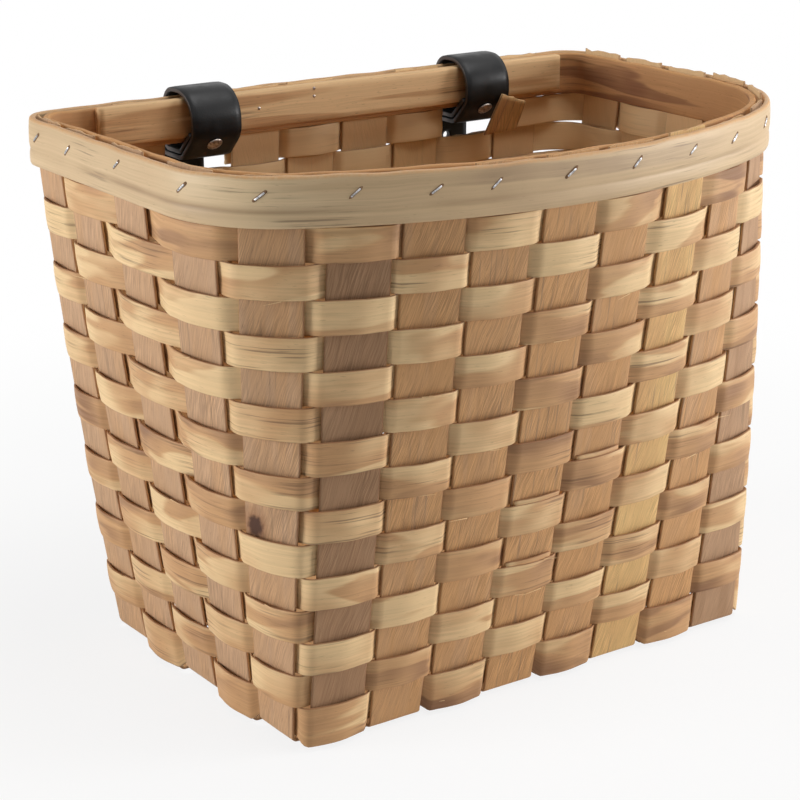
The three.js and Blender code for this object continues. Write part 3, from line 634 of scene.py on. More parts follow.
def splint(name, lower, upper, out, ring, tree, values, wave=0.0, pillow=0.0, tone=0.0, shade=0.5, knot=None):
    """A splint between two edge lines, with its outward directions, shaped by the splint tree.

    A knot is given as the distance from it at each place along the splint, and its place across the splint.
    """
    count, sides = len(lower), len(SECTION_ACROSS)
    share = ((SECTION_ACROSS + 1) / 2)[None, :, None]
    sections = lower[:, None, :] * (1 - share) + upper[:, None, :] * share
    half_width = np.linalg.norm(upper - lower, axis=1).mean() / 2
    middle = (lower + upper) / 2
    run = np.zeros((count, 3))
    if not ring:
        run[0] = unit(middle[0] - middle[1])
        run[-1] = unit(middle[-1] - middle[-2])
    by_place = {"out": out, "up": unit(upper - lower), "run": run, "along": running_length(middle)}
    for key, value in (("wave", wave), ("pillow", pillow), ("tone", tone), ("shade", shade)):
        by_place[key] = np.broadcast_to(value, count)
    each = {key: np.repeat(value, sides, 0) for key, value in by_place.items()}
    each["across"] = np.tile(SECTION_ACROSS, count)
    each["face"] = np.tile(SECTION_FACE, count)
    if knot:
        side = np.tile(SECTION_ACROSS * half_width - knot[1], count)
        each["knot"] = np.column_stack([np.repeat(knot[0], sides), side, np.ones(count * sides)])
    across = SECTION_ACROSS * half_width + np.where(SECTION_FACE < 0, INNER_FACE_SHIFT, 0)
    return grown(loft_mesh(name, sections, ring, across, each), name, tree, values)


# Weavers
STAKE_SAMPLES = 11
GAP_SAMPLES = 5
CORNER_EASINGS = 7
LAP_RISE = 0.0021
LAP_DEPTH = 0.0008
WEAVER_SHAPE = {
    "Weave Height": WEAVE_HEIGHT, "Pillow": WEAVER_PILLOW, "Thickness": WEAVER_THICKNESS,
    "Crown": WEAVER_CROWN, "Edge Wander": 0.00055, "Warp": 0.00045, "Ragged End": 0.0012,
}
LAP_SHAPE = {
    **WEAVER_SHAPE, "Weave Height": WEAVE_HEIGHT - LAP_DEPTH, "Edge Wander": 0.0003, "Warp": 0.0,
    "Ragged End": 0.0008,
}


def eased(values, ring):
    """Values along a line with their sharp turns rounded off."""
    for _ in range(CORNER_EASINGS):
        rounder = (np.roll(values, 1, 0) + 2 * values + np.roll(values, -1, 0)) / 4
        if not ring:
            rounder[[0, -1]] = values[[0, -1]]
        values = rounder
    return values


def weaver_line(stakes, row, z, ring):
    """The line of a weaver round some wall stakes at a height, with its weave and its pillow shape."""
    middle, along, out = walls_at(z)
    half = STAKE_WIDTH / 2
    parts = []
    for n, i in enumerate(stakes):
        sign = 1 if (i + row) % 2 == 1 else -1
        last = n == len(stakes) - 1
        start_run = SLOT_END_OVERRUN if not ring and n == 0 else 0
        end_run = SLOT_END_OVERRUN if not ring and last else 0
        after = stakes[(n + 1) % len(stakes)]
        start = middle[i] + along[i] * half
        end = middle[after] - along[after] * half
        gap = np.linalg.norm(end - start)
        reach = half + gap / 2
        s = np.linspace(-half - start_run, half + end_run, STAKE_SAMPLES)
        parts.append((
            middle[i] + along[i] * s[:, None], np.repeat(out[i][None], STAKE_SAMPLES, 0),
            np.full(STAKE_SAMPLES, float(sign)),
            sign * np.cos(np.clip(s / reach, -1, 1) * math.pi / 2) ** 2,
        ))
        if last and not ring:
            break
        t = np.arange(1, GAP_SAMPLES + 1)[:, None] / (GAP_SAMPLES + 1)
        bend = (2 * t ** 3 - 3 * t ** 2 + 1) * start + (3 * t ** 2 - 2 * t ** 3) * end
        bend = bend + (t ** 3 - 2 * t ** 2 + t) * along[i] * gap + (t ** 3 - t ** 2) * along[after] * gap
        turned = unit(out[i] * (1 - t) + out[after] * t)
        t = t.ravel()
        near = (half + np.minimum(t, 1 - t) * gap) / reach
        parts.append((
            bend, turned, sign * (1 - 2 * smooth(t)),
            np.where(t < 0.5, sign, -sign) * np.cos(near * math.pi / 2) ** 2,
        ))
    points, outs, waves, pillows = (np.concatenate(rows) for rows in zip(*parts))
    return eased(points, ring), unit(eased(outs, ring)), waves, pillows


def weaver(name, row, stakes, tree, material, draw):
    ring = len(stakes) == WALLS
    low, high = row_heights(row)
    lower, out, wave, pillow = weaver_line(stakes, row, low, ring)
    upper = weaver_line(stakes, row, high, ring)[0]
    values = {**WEAVER_SHAPE, "Seed": draw.uniform(0, SEED_SPAN), "Material": material}
    lower = lifted(lower, low)
    if row == WEAVER_ROWS:
        lower[:, 2] -= LOWEST_ROW_DROOP * smooth((wave + 1) / 2)
    obj = splint(name, lower, lifted(upper, high), lifted(out, 0), ring, tree, values, wave, pillow,
                 draw.random(), draw.random())
    return worn(obj, "basket", "weaver_wood", name)


def weaver_lap(name, row, i, tree, material, draw):
    """The end of a second strip, which shows above a weaver where it passes in front of one stake."""
    low, high = (z + LAP_RISE for z in row_heights(row))
    stakes = [(i - 1) % WALLS, i, (i + 1) % WALLS]
    first = STAKE_SAMPLES + GAP_SAMPLES
    shown = slice(first, first + STAKE_SAMPLES)
    lower, out, wave, pillow = (values[shown] for values in weaver_line(stakes, row, low, False))
    upper = weaver_line(stakes, row, high, False)[0][shown]
    values = {**LAP_SHAPE, "Seed": draw.uniform(0, SEED_SPAN), "Material": material}
    obj = splint(name, lifted(lower, low), lifted(upper, high), lifted(out, 0), False, tree, values, wave,
                 pillow, draw.random(), draw.random())
    return worn(obj, "basket", "weaver_wood")


# Stakes
KNOT_STAKE = "side_to_side_stake_1"
KNOT_ROW = 9
KNOT_ACROSS = -0.008
KNOT_DROP = 0.0034
NO_KNOT = 1.0
SLOT_STAKE_GAP = 0.0004
RIGHT_TOPS = (0.0006, 0.0028)
OTHER_TOPS = (-0.0012, 0.0009)
STAKE_STEP = 0.004
STAKE_LAST_STEP = 0.002
BASE_STEPS = 40
CROSSING_STEPS = 7
STAKE_SHAPE = {"Thickness": STAKE_THICKNESS, "Edge Wander": 0.0004, "Warp": 0.00025, "Ragged End": 0.0018}


def wall_run(i, heights, widen):
    """Edge lines and outward directions of one stake up its wall."""
    rows = []
    for z in heights:
        middle, along, outward = walls_at(z)
        side = along[i] * STAKE_WIDTH / 2 * widen
        rows.append(([*(middle[i] - side), z], [*(middle[i] + side), z], [*outward[i], 0]))
    return columns(rows)


def fold_run(i, level, widen, steps=6):
    """Edge lines and outward directions round the fold from the base into a wall, from the base up."""
    middle, along, outward = walls_at(0)
    side = along[i] * STAKE_WIDTH / 2 * widen
    rows = []
    for s in range(steps):
        angle = s / steps * math.pi / 2
        centre = middle[i] + outward[i] * (-BASE_FOLD_RADIUS * (1 - math.sin(angle)))
        z = level + BASE_FOLD_RADIUS * (1 - math.cos(angle))
        out = [*(outward[i] * math.sin(angle)), -math.cos(angle)]
        rows.append(([*(centre - side), z], [*(centre + side), z], out))
    return columns(rows)


def base_run(points, levels, side):
    """Edge lines and outward directions of one stake across the base."""
    points = np.column_stack([points, levels])
    side = np.array([*side, 0.0]) * STAKE_WIDTH / 2
    return points - side, points + side, np.tile([0.0, 0.0, -1.0], (len(points), 1))


def stake_top(i, draw):
    """Where a wall stake ends: a little above or below the rim's top, or under the rim at a strap."""
    if i in slot_walls:
        return row_heights(1)[0] - SLOT_STAKE_GAP
    return rim_top + draw.uniform(*(RIGHT_TOPS if i in right_wall else OTHER_TOPS))


def stake(name, first, second, base, levels, tree, material, draw, shade):
    """One stake: down the first wall, across the base and up the second wall."""
    def climb(i, level, widen):
        foot_z = level + BASE_FOLD_RADIUS
        heights = np.append(np.arange(foot_z, rim_bottom, STAKE_STEP), [rim_bottom, rim_top])
        top = stake_top(i, draw)
        heights = np.append(heights[heights < top - STAKE_LAST_STEP], top)
        runs = zip(fold_run(i, level, widen), wall_run(i, heights, widen))
        return [np.concatenate(pair) for pair in runs]
    down = [line[::-1] for line in climb(first, levels[0], 1)]
    up = climb(second, levels[-1], -1)
    lower, upper, out = [np.concatenate(rows) for rows in zip(down, base, up)]
    values = {**STAKE_SHAPE, "Seed": draw.uniform(0, SEED_SPAN), "Material": material}
    knot = None
    if name == KNOT_STAKE:
        from_knot = lower[:, 2] - sum(row_heights(KNOT_ROW)) / 2 + KNOT_DROP
        from_knot[len(down[0]):] = NO_KNOT
        knot = (from_knot, KNOT_ACROSS)
    obj = splint(name, lower, upper, out, False, tree, values, tone=draw.random(), shade=shade, knot=knot)
    return worn(obj, "basket", "stake_wood", name)


def front_to_back_stake(k, tree, material, draw, shade):
    x = foot[front_wall[k]][0]
    y = np.linspace(base_front_y + 2 * BASE_FOLD_RADIUS, base_back_y - 2 * BASE_FOLD_RADIUS, BASE_STEPS)
    levels = np.full(len(y), BASE_LEVEL)
    base = base_run(np.column_stack([np.full(len(y), x), y]), levels, (1, 0))
    name = f"front_to_back_stake_{k + 1}"
    return stake(name, front_wall[k], back_wall[k], base, levels, tree, material, draw, shade)


def side_to_side_stake(j, tree, material, draw, shade):
    """Passes over and under the front-to-back stakes in the base."""
    y = foot[left_wall[j]][1]
    x, levels = [], []
    for k in range(FRONT_STAKES):
        level = BASE_LEVEL + (BASE_STEP if (k + j) % 2 == 0 else -BASE_STEP)
        x.extend(foot[front_wall[k]][0] + np.linspace(-0.5, 0.5, CROSSING_STEPS) * STAKE_WIDTH)
        levels.extend([level] * CROSSING_STEPS)
    base = base_run(np.column_stack([x, np.full(len(x), y)]), levels, (0, -1))
    name = f"side_to_side_stake_{j + 1}"
    return stake(name, left_wall[j], right_wall[j], base, levels, tree, material, draw, shade)


# Rim band, hoop and lath: each profile runs up the outer face and down the inner, as [outward, up] in mm
BAND_PROFILE = np.array([
    [3.5, 0.0], [4.25, 0.3], [4.65, 1.1], [4.8, 3.0], [4.72, 5.4], [4.5, 6.4], [4.42, 6.9], [4.55, 7.5],
    [4.85, 9.5], [4.9, 12.5], [4.8, 16.0], [4.6, 19.0], [4.35, 20.1], [3.8, 20.5],
    [2.5, 20.5], [2.0, 20.2], [1.8, 19.4], [1.8, 16.0], [1.8, 12.5], [1.8, 9.5], [1.8, 7.5], [1.8, 6.9],
    [1.8, 6.4], [1.8, 5.4], [1.8, 3.0], [1.8, 1.1], [2.0, 0.3], [2.5, 0.0],
]) / 1000
HOOP_PROFILE = np.array([
    [-2.4, 0.0], [-2.0, 0.3], [-1.8, 1.0], [-1.8, 5.0], [-1.8, 10.0], [-1.8, 15.0], [-1.8, 19.4],
    [-2.0, 20.2], [-2.4, 20.5],
    [-3.9, 20.5], [-4.45, 20.2], [-4.7, 19.4], [-4.85, 15.0], [-4.9, 10.0], [-4.85, 5.0], [-4.7, 1.0],
    [-4.45, 0.3], [-3.9, 0.0],
]) / 1000
RIM_GROOVE, GROOVE_WIDTH = 0.0068, 0.0012
SAWN_EDGE, SAWN_FADE = 0.0192, 0.001
TOP_WAVES = (5, 11, 23, 37)
# Painted shade along the front of the rim strips and painted light at their left front corner: where each
# lies, how far it reaches and how much it moves the shade
PAINTED_SHADE_PLACE, PAINTED_SHADE_REACH, PAINTED_SHADE_RISE = 0.0, 0.06, 0.3
PAINTED_LIGHT_PLACE, PAINTED_LIGHT_REACH, PAINTED_LIGHT_FALL = -0.137, 0.035, 0.45
LATH_EASE = 0.0007
LATH_FACE_POINTS = 7
LATH_STEPS = 90
LATH_BOW, LATH_BOW_LENGTH, LATH_BOW_SEED = 0.0004, 0.6, 61


def hump(values, place, reach):
    """A soft rise to one about a place."""
    return np.exp(-((values - place) / reach) ** 2)


def rim_strip(name, profile, seed, top_wander, warp, shade, material, slot):
    """A thin bent board that follows the rim all the way round, with painted shade in front and painted light
    at the left front corner.
    """
    round_length = rim_end - rim_start
    distance = np.linspace(rim_start, rim_end, int(round_length / RIM_STEP), endpoint=False)
    points = rim_points(distance)
    out = rim_outward(distance)
    lean = wander(distance, round_length, seed) * warp
    rise = wander(distance, round_length, seed + 1, TOP_WAVES) * top_wander
    up = profile[:, 1]
    share = up / up.max()
    offset = profile[None, :, 0] + lean[:, None] * share[None]
    sections = np.empty((len(distance), len(profile), 3))
    sections[..., :2] = points[:, None] + out[:, None] * offset[..., None]
    sections[..., 2] = rim_bottom + up[None] + rise[:, None] * share[None] ** 2
    groove = np.where(profile[:, 0] > 0, hump(up, RIM_GROOVE, GROOVE_WIDTH), 0)
    top = smooth(np.clip((up - SAWN_EDGE) / SAWN_FADE, 0, 1))
    # The strip's own shade with painted shade added in front and painted light taken off at the left front
    # corner
    grey = shade + PAINTED_SHADE_RISE * hump(distance, PAINTED_SHADE_PLACE, PAINTED_SHADE_REACH)
    grey -= PAINTED_LIGHT_FALL * hump(distance, PAINTED_LIGHT_PLACE, PAINTED_LIGHT_REACH)
    attributes = {
        "shade": np.repeat(grey, len(profile)), "groove": np.tile(groove, len(distance)),
        "top": np.tile(top, len(distance)),
    }
    mesh = loft_mesh(name, sections, True, running_length(profile), attributes)
    return worn(piece(name, mesh, material), "basket", slot, name)


def back_lath(material):
    """The straight sawn lath inside the back rim."""
    name = "back_lath"
    middle_y, middle_z = (lath_low.y + lath_high.y) / 2, (lath_low.z + lath_high.z) / 2
    half_y, half_z = (lath_high.y - lath_low.y) / 2, (lath_high.z - lath_low.z) / 2
    outer = [[half_y - LATH_EASE, -half_z], [half_y, -half_z + LATH_EASE]]
    outer += [[half_y, z] for z in np.linspace(-half_z, half_z, LATH_FACE_POINTS)[1:-1]]
    outer += [[half_y, half_z - LATH_EASE], [half_y - LATH_EASE, half_z]]
    profile = np.array(outer + [[-y, z] for y, z in reversed(outer)])
    x = np.linspace(lath_high.x, lath_low.x, LATH_STEPS)
    bow = wander(x, LATH_BOW_LENGTH, LATH_BOW_SEED, (1, 3, 5)) * LATH_BOW
    sections = np.empty((len(x), len(profile), 3))
    sections[..., 0] = x[:, None]
    sections[..., 1] = middle_y + profile[None, :, 0]
    sections[..., 2] = middle_z + profile[None, :, 1] + bow[:, None] * np.abs(profile[None, :, 1]) / half_z
    mesh = loft_mesh(name, sections, False, running_length(profile))
    return worn(piece(name, mesh, material), "basket", "hoop_wood", name)


# Straps: worked out in the plane through the strap's middle, as [y, z]
STRAP_FOLD_BEND = 0.002
STRAP_BEHIND_BEND = 0.0035
STRAP_UNDER_BEND = 0.004
STRAP_BULGE_BEND = 0.009
PRONG_SLOT_SHARE, PRONG_SLOT_SHIFT = 0.8, 0.0015
PUNCH_DEPTH = STRAP_THICKNESS * 1.6
EYE_DEPTH = PUNCH_DEPTH * 2.4
STRAP_EASE = 0.0006
STRAP_EASE_INSET, STRAP_EASE_DROP = 0.4, 0.3
STRAP_FACE_POINTS = 9
STRAP_SIDE_WANDER = 0.0003
STRAP_SEEDS = {"left": 31, "right": 47}
INNER_LEATHER_SHIFT = 0.05
EDGE_FROM = 0.99

fold_z = rim_bottom - STRAP_SLOT_CLEARANCE - STRAP_THICKNESS / 2
strap_z = fold_z - STRAP_LAYER
bulge_y = lath_low.y - STRAP_BULGE - STRAP_THICKNESS / 2
crest_z = rim_top + STRAP_RISE + STRAP_THICKNESS / 2
bar_wrap = BUCKLE_BAR_RADIUS + SEAT_GAP + STRAP_THICKNESS / 2
fold_wrap = bar_wrap + STRAP_LAYER
buckle_reach = bar_wrap + fold_wrap + BUCKLE_WINDOW_SPARE
behind_buckle_y = band_high.y + STRAP_STANDOFF + STRAP_THICKNESS / 2
bar_y = behind_buckle_y + bar_wrap
bar_z = strap_z + STRAP_TURN_RADIUS + BUCKLE_LIFT
tail_y = bar_y + fold_wrap
tail_tip_z = bar_z - STRAP_TAIL_DROP
fold_sum = lath_low.y + lath_low.z - math.sqrt(2) * (STRAP_THICKNESS / 2 + LATH_CORNER_CLEARANCE)
strap_sum = fold_sum - math.sqrt(2) * STRAP_LAYER
fold_corner = np.array([fold_sum - fold_z, fold_z])
strap_corner = np.array([strap_sum - strap_z, strap_z])
bulge_corner = np.array([bulge_y, strap_sum - bulge_y])
cross_lean = math.asin((bar_wrap + fold_wrap) / buckle_reach)
cross_start = np.array([behind_buckle_y, bar_z + buckle_reach - bar_wrap * math.tan(cross_lean / 2)])
cross_end = np.array([tail_y, bar_z + fold_wrap * math.tan(cross_lean / 2)])
crest_back_radius = crest_z - bar_z - buckle_reach - SEAT_GAP
slant_up = np.array([-1, 1]) / math.sqrt(2)
rivet_centre = strap_corner + slant_up * RIVET_FROM_BEND


def filleted_line(corners, steps=10):
    """Points along corner points [y, z, radius], with round corners."""
    points = []
    for n, (y, z, radius) in enumerate(corners):
        here = np.array([y, z])
        if radius == 0:
            points.append(here)
            continue
        back = unit(np.array(corners[n - 1][:2]) - here)
        ahead = unit(np.array(corners[n + 1][:2]) - here)
        half = math.acos(float(np.clip(back @ ahead, -1, 1))) / 2
        centre = here + unit(back + ahead) * radius / math.sin(half)
        start = here + back * radius / math.tan(half) - centre
        end = here + ahead * radius / math.tan(half) - centre
        sweep = math.atan2(start[0] * end[1] - start[1] * end[0], start @ end)
        for s in range(steps + 1):
            turn = sweep * s / steps
            spin = np.array([[math.cos(turn), -math.sin(turn)], [math.sin(turn), math.cos(turn)]])
            points.append(centre + spin @ start)
    return np.array(points)


def even_line(points, step):
    """The same line with points at even steps."""
    length = running_length(points)
    places = np.linspace(0, length[-1], int(length[-1] / step) + 1)
    return np.stack([np.interp(places, length, points[:, c]) for c in (0, 1)], -1)


def strap_line():
    return filleted_line([
        (fold_corner[0] - RIVETED_END_RUN, fold_corner[1] + RIVETED_END_RUN, 0),
        (*fold_corner, STRAP_FOLD_BEND), (bar_y - bar_wrap, fold_z, STRAP_BEHIND_BEND),
        (bar_y - bar_wrap, bar_z + bar_wrap, bar_wrap), (bar_y + bar_wrap, bar_z + bar_wrap, bar_wrap),
        (bar_y + bar_wrap, strap_z, STRAP_TURN_RADIUS), (*strap_corner, STRAP_UNDER_BEND),
        (*bulge_corner, STRAP_BULGE_BEND), (bulge_y, crest_z, STRAP_CREST_RADIUS),
        (behind_buckle_y, crest_z, crest_back_radius), (*cross_start, bar_wrap), (*cross_end, fold_wrap),
        (tail_y, tail_tip_z, 0),
    ])


def punch_prism(centre, along, radius, length, depth, sides=20):
    """Corner points of the two ends of a long round tool through the strap."""
    across = np.array([-along[1], along[0]])
    rings = []
    for end in (-depth / 2, depth / 2):
        ring = []
        for k in range(sides):
            angle = (k + 0.5) / sides * math.tau
            run = radius * math.cos(angle)
            run += math.copysign(max(length / 2 - radius, 0), run)
            place = centre + along * run + across * end
            ring.append([radius * math.sin(angle), *place])
        rings.append(ring)
    return np.array(rings)


def hole_cutter(x, rings):
    """One mesh with a closed prism for each hole."""
    points, faces = [], []
    for low, high in rings:
        start, sides = len(points), len(low)
        points.extend([*low, *high])
        faces.append([start + k for k in range(sides)])
        faces.append([start + sides + k for k in reversed(range(sides))])
        for k in range(sides):
            n = (k + 1) % sides
            faces.append([start + k, start + sides + k, start + sides + n, start + n])
    mesh = bpy.data.meshes.new("strap holes")
    mesh.from_pydata([(px + x, py, pz) for px, py, pz in points], [], faces)
    edge = mesh.attributes.new("edge", "FLOAT", "POINT")
    edge.data.foreach_set("value", np.ones(len(points)))
    return facing_out(linked("strap holes", mesh))


def strap_holes(x):
    """The prong's slot, the holes in the tail and the slot for the prong's eye."""
    along = unit(cross_end - cross_start)
    middle = (cross_start + cross_end) / 2
    slot_length = np.linalg.norm(cross_end - cross_start) * PRONG_SLOT_SHARE
    slot_radius = PRONG_WIDTH / 2 + PRONG_SLOT_CLEARANCE
    rings = [punch_prism(middle + along * PRONG_SLOT_SHIFT, along, slot_radius, slot_length, PUNCH_DEPTH)]
    for n in range(1, PUNCH_COUNT + 1):
        centre = np.array([tail_y, cross_end[1] - n * PUNCH_PITCH])
        rings.append(punch_prism(centre, np.array([0.0, -1.0]), PUNCH_RADIUS, 2 * PUNCH_RADIUS, PUNCH_DEPTH))
    top = np.array([bar_y, bar_z + bar_wrap])
    rings.append(punch_prism(top, np.array([1.0, 0.0]), slot_radius, 4 * bar_wrap, EYE_DEPTH))
    return hole_cutter(x, rings)


def strap(side, x, material):
    """A leather strap in its buckled shape, hollowed a little where it is seen, with its holes cut."""
    name = f"{side}_strap"
    line = even_line(strap_line(), STRAP_STEP)
    tangent = unit(np.gradient(line, axis=0))
    out = np.column_stack([tangent[:, 1], -tangent[:, 0]])
    half = STRAP_THICKNESS / 2
    inset = STRAP_EASE_INSET * STRAP_EASE / (STRAP_WIDTH / 2)
    shoulder = [half - STRAP_EASE, half - STRAP_EASE_DROP * STRAP_EASE]
    flat = np.linspace(-1, 1, STRAP_FACE_POINTS)[1:-1]
    across = np.concatenate([[-1, -1 + inset], flat, [1 - inset, 1]])
    face = np.concatenate([shoulder, np.full(len(flat), half), shoulder[::-1]])
    across = np.concatenate([across, across[::-1]])
    face = np.concatenate([face, -face[::-1]])
    length = np.arange(len(line)) * STRAP_STEP
    to_tip = np.clip((length[-1] - length) / TAIL_TIP_CUT, 0, 1)
    width = STRAP_WIDTH / 2 - TAIL_TIP_CUT * (1 - np.sqrt(1 - (1 - to_tip) ** 2))
    loose = wander(length, length[-1] * 2, STRAP_SEEDS[side], (2, 5, 9)) * STRAP_SIDE_WANDER
    seen = smooth(np.clip((line[:, 1] - rim_bottom) / (rim_top - rim_bottom), 0, 1))
    seen = seen * smooth(np.clip((rim_back_y - line[:, 0]) / STRAP_CREST_RADIUS, 0, 1))
    offset = face[None] - STRAP_CROWN * seen[:, None] * (1 - across ** 2)[None]
    sections = np.empty((len(line), len(across), 3))
    sections[..., 0] = x + width[:, None] * across[None] + loose[:, None]
    sections[..., 1:] = line[:, None] + out[:, None] * offset[..., None]
    edge = np.tile((np.abs(across) > EDGE_FROM).astype(float), len(line))
    places = across * STRAP_WIDTH / 2 + np.where(face < 0, INNER_LEATHER_SHIFT, 0)
    obj = piece(name, loft_mesh(name, sections, False, places, {"edge": edge}), material)
    cutter = strap_holes(x)
    bored = obj.modifiers.new("holes", "BOOLEAN")
    bored.object = cutter
    bored.operation = "DIFFERENCE"
    bored.solver = "MANIFOLD"
    made_plain(obj)
    bpy.data.objects.remove(cutter)
    return worn(obj, "basket", "black_leather", name)


# Buckles and rivets
BUCKLE_CORNER_STEPS = 8
PRONG_EYE_GAP = 0.00005
PRONG_SAG = 0.0004
PRONG_TONGUE_POINTS = 16
PRONG_EYE_POINTS = 26
PRONG_EYE_TURN = 310
PRONG_TAPER_POINTS = 10
PRONG_TIP_SHARE = 0.55
PRONG_SIDES = 12
RIVET_SEAT = 0.0001
RIVET_LIP = 0.0002
RIVET_UNDERSIDE_SHARE = 0.97
RIVET_DOME_POINTS = 9
RIVET_DOME_SHARE = 0.98
RIVET_SHANK_MIDDLE = 0.00004


def tube_mesh(name, line, normals, binormal, ring, widths, heights, sides=20):
    """A round or flattened wire along a line that lies in one plane."""
    turn = (np.arange(sides) + 0.5) / sides * math.tau
    sections = line[:, None] + normals[:, None] * (np.cos(turn)[None, :, None] * heights[:, None, None])
    sections = sections + np.array(binormal) * (np.sin(turn)[None, :, None] * widths[:, None, None])
    return loft_mesh(name, sections, ring, turn * heights.mean())


def buckle_frame(side, x, material):
    """A round steel bar bent into a rounded rectangle."""
    name = f"{side}_buckle_frame"
    half_x = STRAP_WIDTH / 2 + BUCKLE_SIDE_CLEARANCE + BUCKLE_BAR_RADIUS
    rows = []
    for sx, z, start in ((1, 0, -90), (1, buckle_reach, 0), (-1, buckle_reach, 90), (-1, 0, 180)):
        centre_x = sx * (half_x - BUCKLE_CORNER)
        centre_z = BUCKLE_CORNER if z == 0 else z - BUCKLE_CORNER
        for s in range(BUCKLE_CORNER_STEPS + 1):
            angle = math.radians(start + 90 * s / BUCKLE_CORNER_STEPS)
            out_x, out_z = math.cos(angle), math.sin(angle)
            place = (x + centre_x + out_x * BUCKLE_CORNER, bar_y, bar_z + centre_z + out_z * BUCKLE_CORNER)
            rows.append((place, (out_x, 0, out_z)))
    line, normals = columns(rows)
    radius = np.full(len(line), BUCKLE_BAR_RADIUS)
    mesh = tube_mesh(name, line, normals, (0.0, 1.0, 0.0), True, radius, radius)
    return worn(piece(name, mesh, material), f"{side}_buckle", "buckle_steel", name)


def buckle_prong(side, x, material):
    """A flattened wire, looped round the buckle's lower bar and laid over its upper bar."""
    name = f"{side}_buckle_prong"
    loop = BUCKLE_BAR_RADIUS + PRONG_EYE_GAP + PRONG_WIRE / 2
    length = buckle_reach + BUCKLE_BAR_RADIUS
    tongue = [(loop - PRONG_SAG * math.sin(math.pi * t), length * (1 - t))
              for t in np.linspace(0, 1, PRONG_TONGUE_POINTS)]
    eye = [(loop * math.cos(a), -loop * math.sin(a))
           for a in np.linspace(0, math.radians(PRONG_EYE_TURN), PRONG_EYE_POINTS)[1:]]
    line = np.array(tongue + eye)
    tangent = unit(np.gradient(line, axis=0))
    count = len(line)
    points = np.column_stack([np.full(count, x), bar_y + line[:, 0], bar_z + line[:, 1]])
    normals = np.column_stack([np.zeros(count), tangent[:, 1], -tangent[:, 0]])
    taper = smooth(np.clip(np.arange(count) / PRONG_TAPER_POINTS, 0, 1))
    taper = taper * (1 - PRONG_TIP_SHARE) + PRONG_TIP_SHARE
    mesh = tube_mesh(name, points, normals, (1.0, 0.0, 0.0), False, taper * PRONG_WIDTH / 2,
                     taper * PRONG_WIRE / 2, PRONG_SIDES)
    return worn(piece(name, mesh, material), f"{side}_prong", "buckle_steel", name)


def strap_rivet(side, x, material, sides=28):
    """A domed rivet head inside the basket, with its shank through both layers of the strap."""
    name = f"{side}_strap_rivet"
    base = STRAP_THICKNESS / 2 + RIVET_SEAT
    shank_end = -STRAP_THICKNESS / 2 - STRAP_LAYER
    dome = [(RIVET_HEAD_RADIUS * math.cos(a), base + RIVET_HEAD_HEIGHT * math.sin(a) + RIVET_LIP)
            for a in np.linspace(0, math.pi / 2 * RIVET_DOME_SHARE, RIVET_DOME_POINTS)]
    shank = [(RIVET_SHANK_MIDDLE, shank_end), (RIVET_SHANK_RADIUS, shank_end), (RIVET_SHANK_RADIUS, base)]
    profile = shank + [(RIVET_HEAD_RADIUS * RIVET_UNDERSIDE_SHARE, base)] + dome
    axis = -np.array([0, 1, 1]) / math.sqrt(2)
    one, two = np.array([1.0, 0, 0]), np.array([0, -1, 1]) / math.sqrt(2)
    centre = np.array([x, *rivet_centre])
    turn = np.arange(sides) / sides * math.tau
    radial = one[None] * np.cos(turn)[:, None] + two[None] * np.sin(turn)[:, None]
    sections = np.array([centre + axis * h + radial * r for r, h in profile])
    mesh = loft_mesh(name, sections, False, turn * RIVET_HEAD_RADIUS)
    return worn(piece(name, mesh, material), "basket", "rivet_metal", name)


# Small fixings and loose fibres, each on points with the directions that they face
STAPLE_SEED = 12
STAPLE_DRIFT = (-0.006, 0.001)
STAPLE_STANDOFF = 0.00025
STAPLE_DROP, STAPLE_DROP_SPREAD = 0.0072, 0.0008
DENT_SHAPE = {"Length": 0.0072, "Wire": 0.0009, "Leg": 0.0006}
DENT_DEPTH = 0.0006
RIM_SAMPLES = 3000
LATH_NAILS = ((0.1117, 0.0017), (0.1117, 0.0054), (0.0816, 0.0079))
LOOSE_END = (
    ((-0.0116, -0.003, -0.0136), (-0.0059, -0.0101, 0.007)),
    ((0.0088, -0.003, -0.0128), (0.0085, -0.0101, 0.0017)),
)
LOOSE_END_OUT = (0.0, -0.94, -0.33)
LOOSE_END_POINTS = 10
LOOSE_END_SHADE = 0.3
LOOSE_END_SHAPE = {
    "Thickness": STAKE_THICKNESS, "Edge Wander": 0.0006, "Warp": 0.0006, "Ragged End": 0.0015, "Seed": 5.0,
}
FIBRE_SEED = 77
FIBRE_COUNT = 46
FIBRE_LOWER_SHARE = 0.7
FIBRE_STANDOFF = 0.0006
FIBRE_DRIFT = (-0.006, 0.008)
FIBRE_LEAN = 0.25
FIBRE_LIFT = (0.02, 0.25)


def point_mesh(name, points, facing):
    mesh = bpy.data.meshes.new(name)
    mesh.from_pydata([tuple(p) for p in points], [], [])
    made = mesh.attributes.new("facing", "FLOAT_VECTOR", "POINT")
    made.data.foreach_set("vector", np.asarray(facing, float).ravel())
    return mesh


def scattered(name, points, facing, tree, values, slot):
    """A piece made of small shapes, one on each point."""
    return worn(grown(point_mesh(name, points, facing), name, tree, values), "basket", slot)


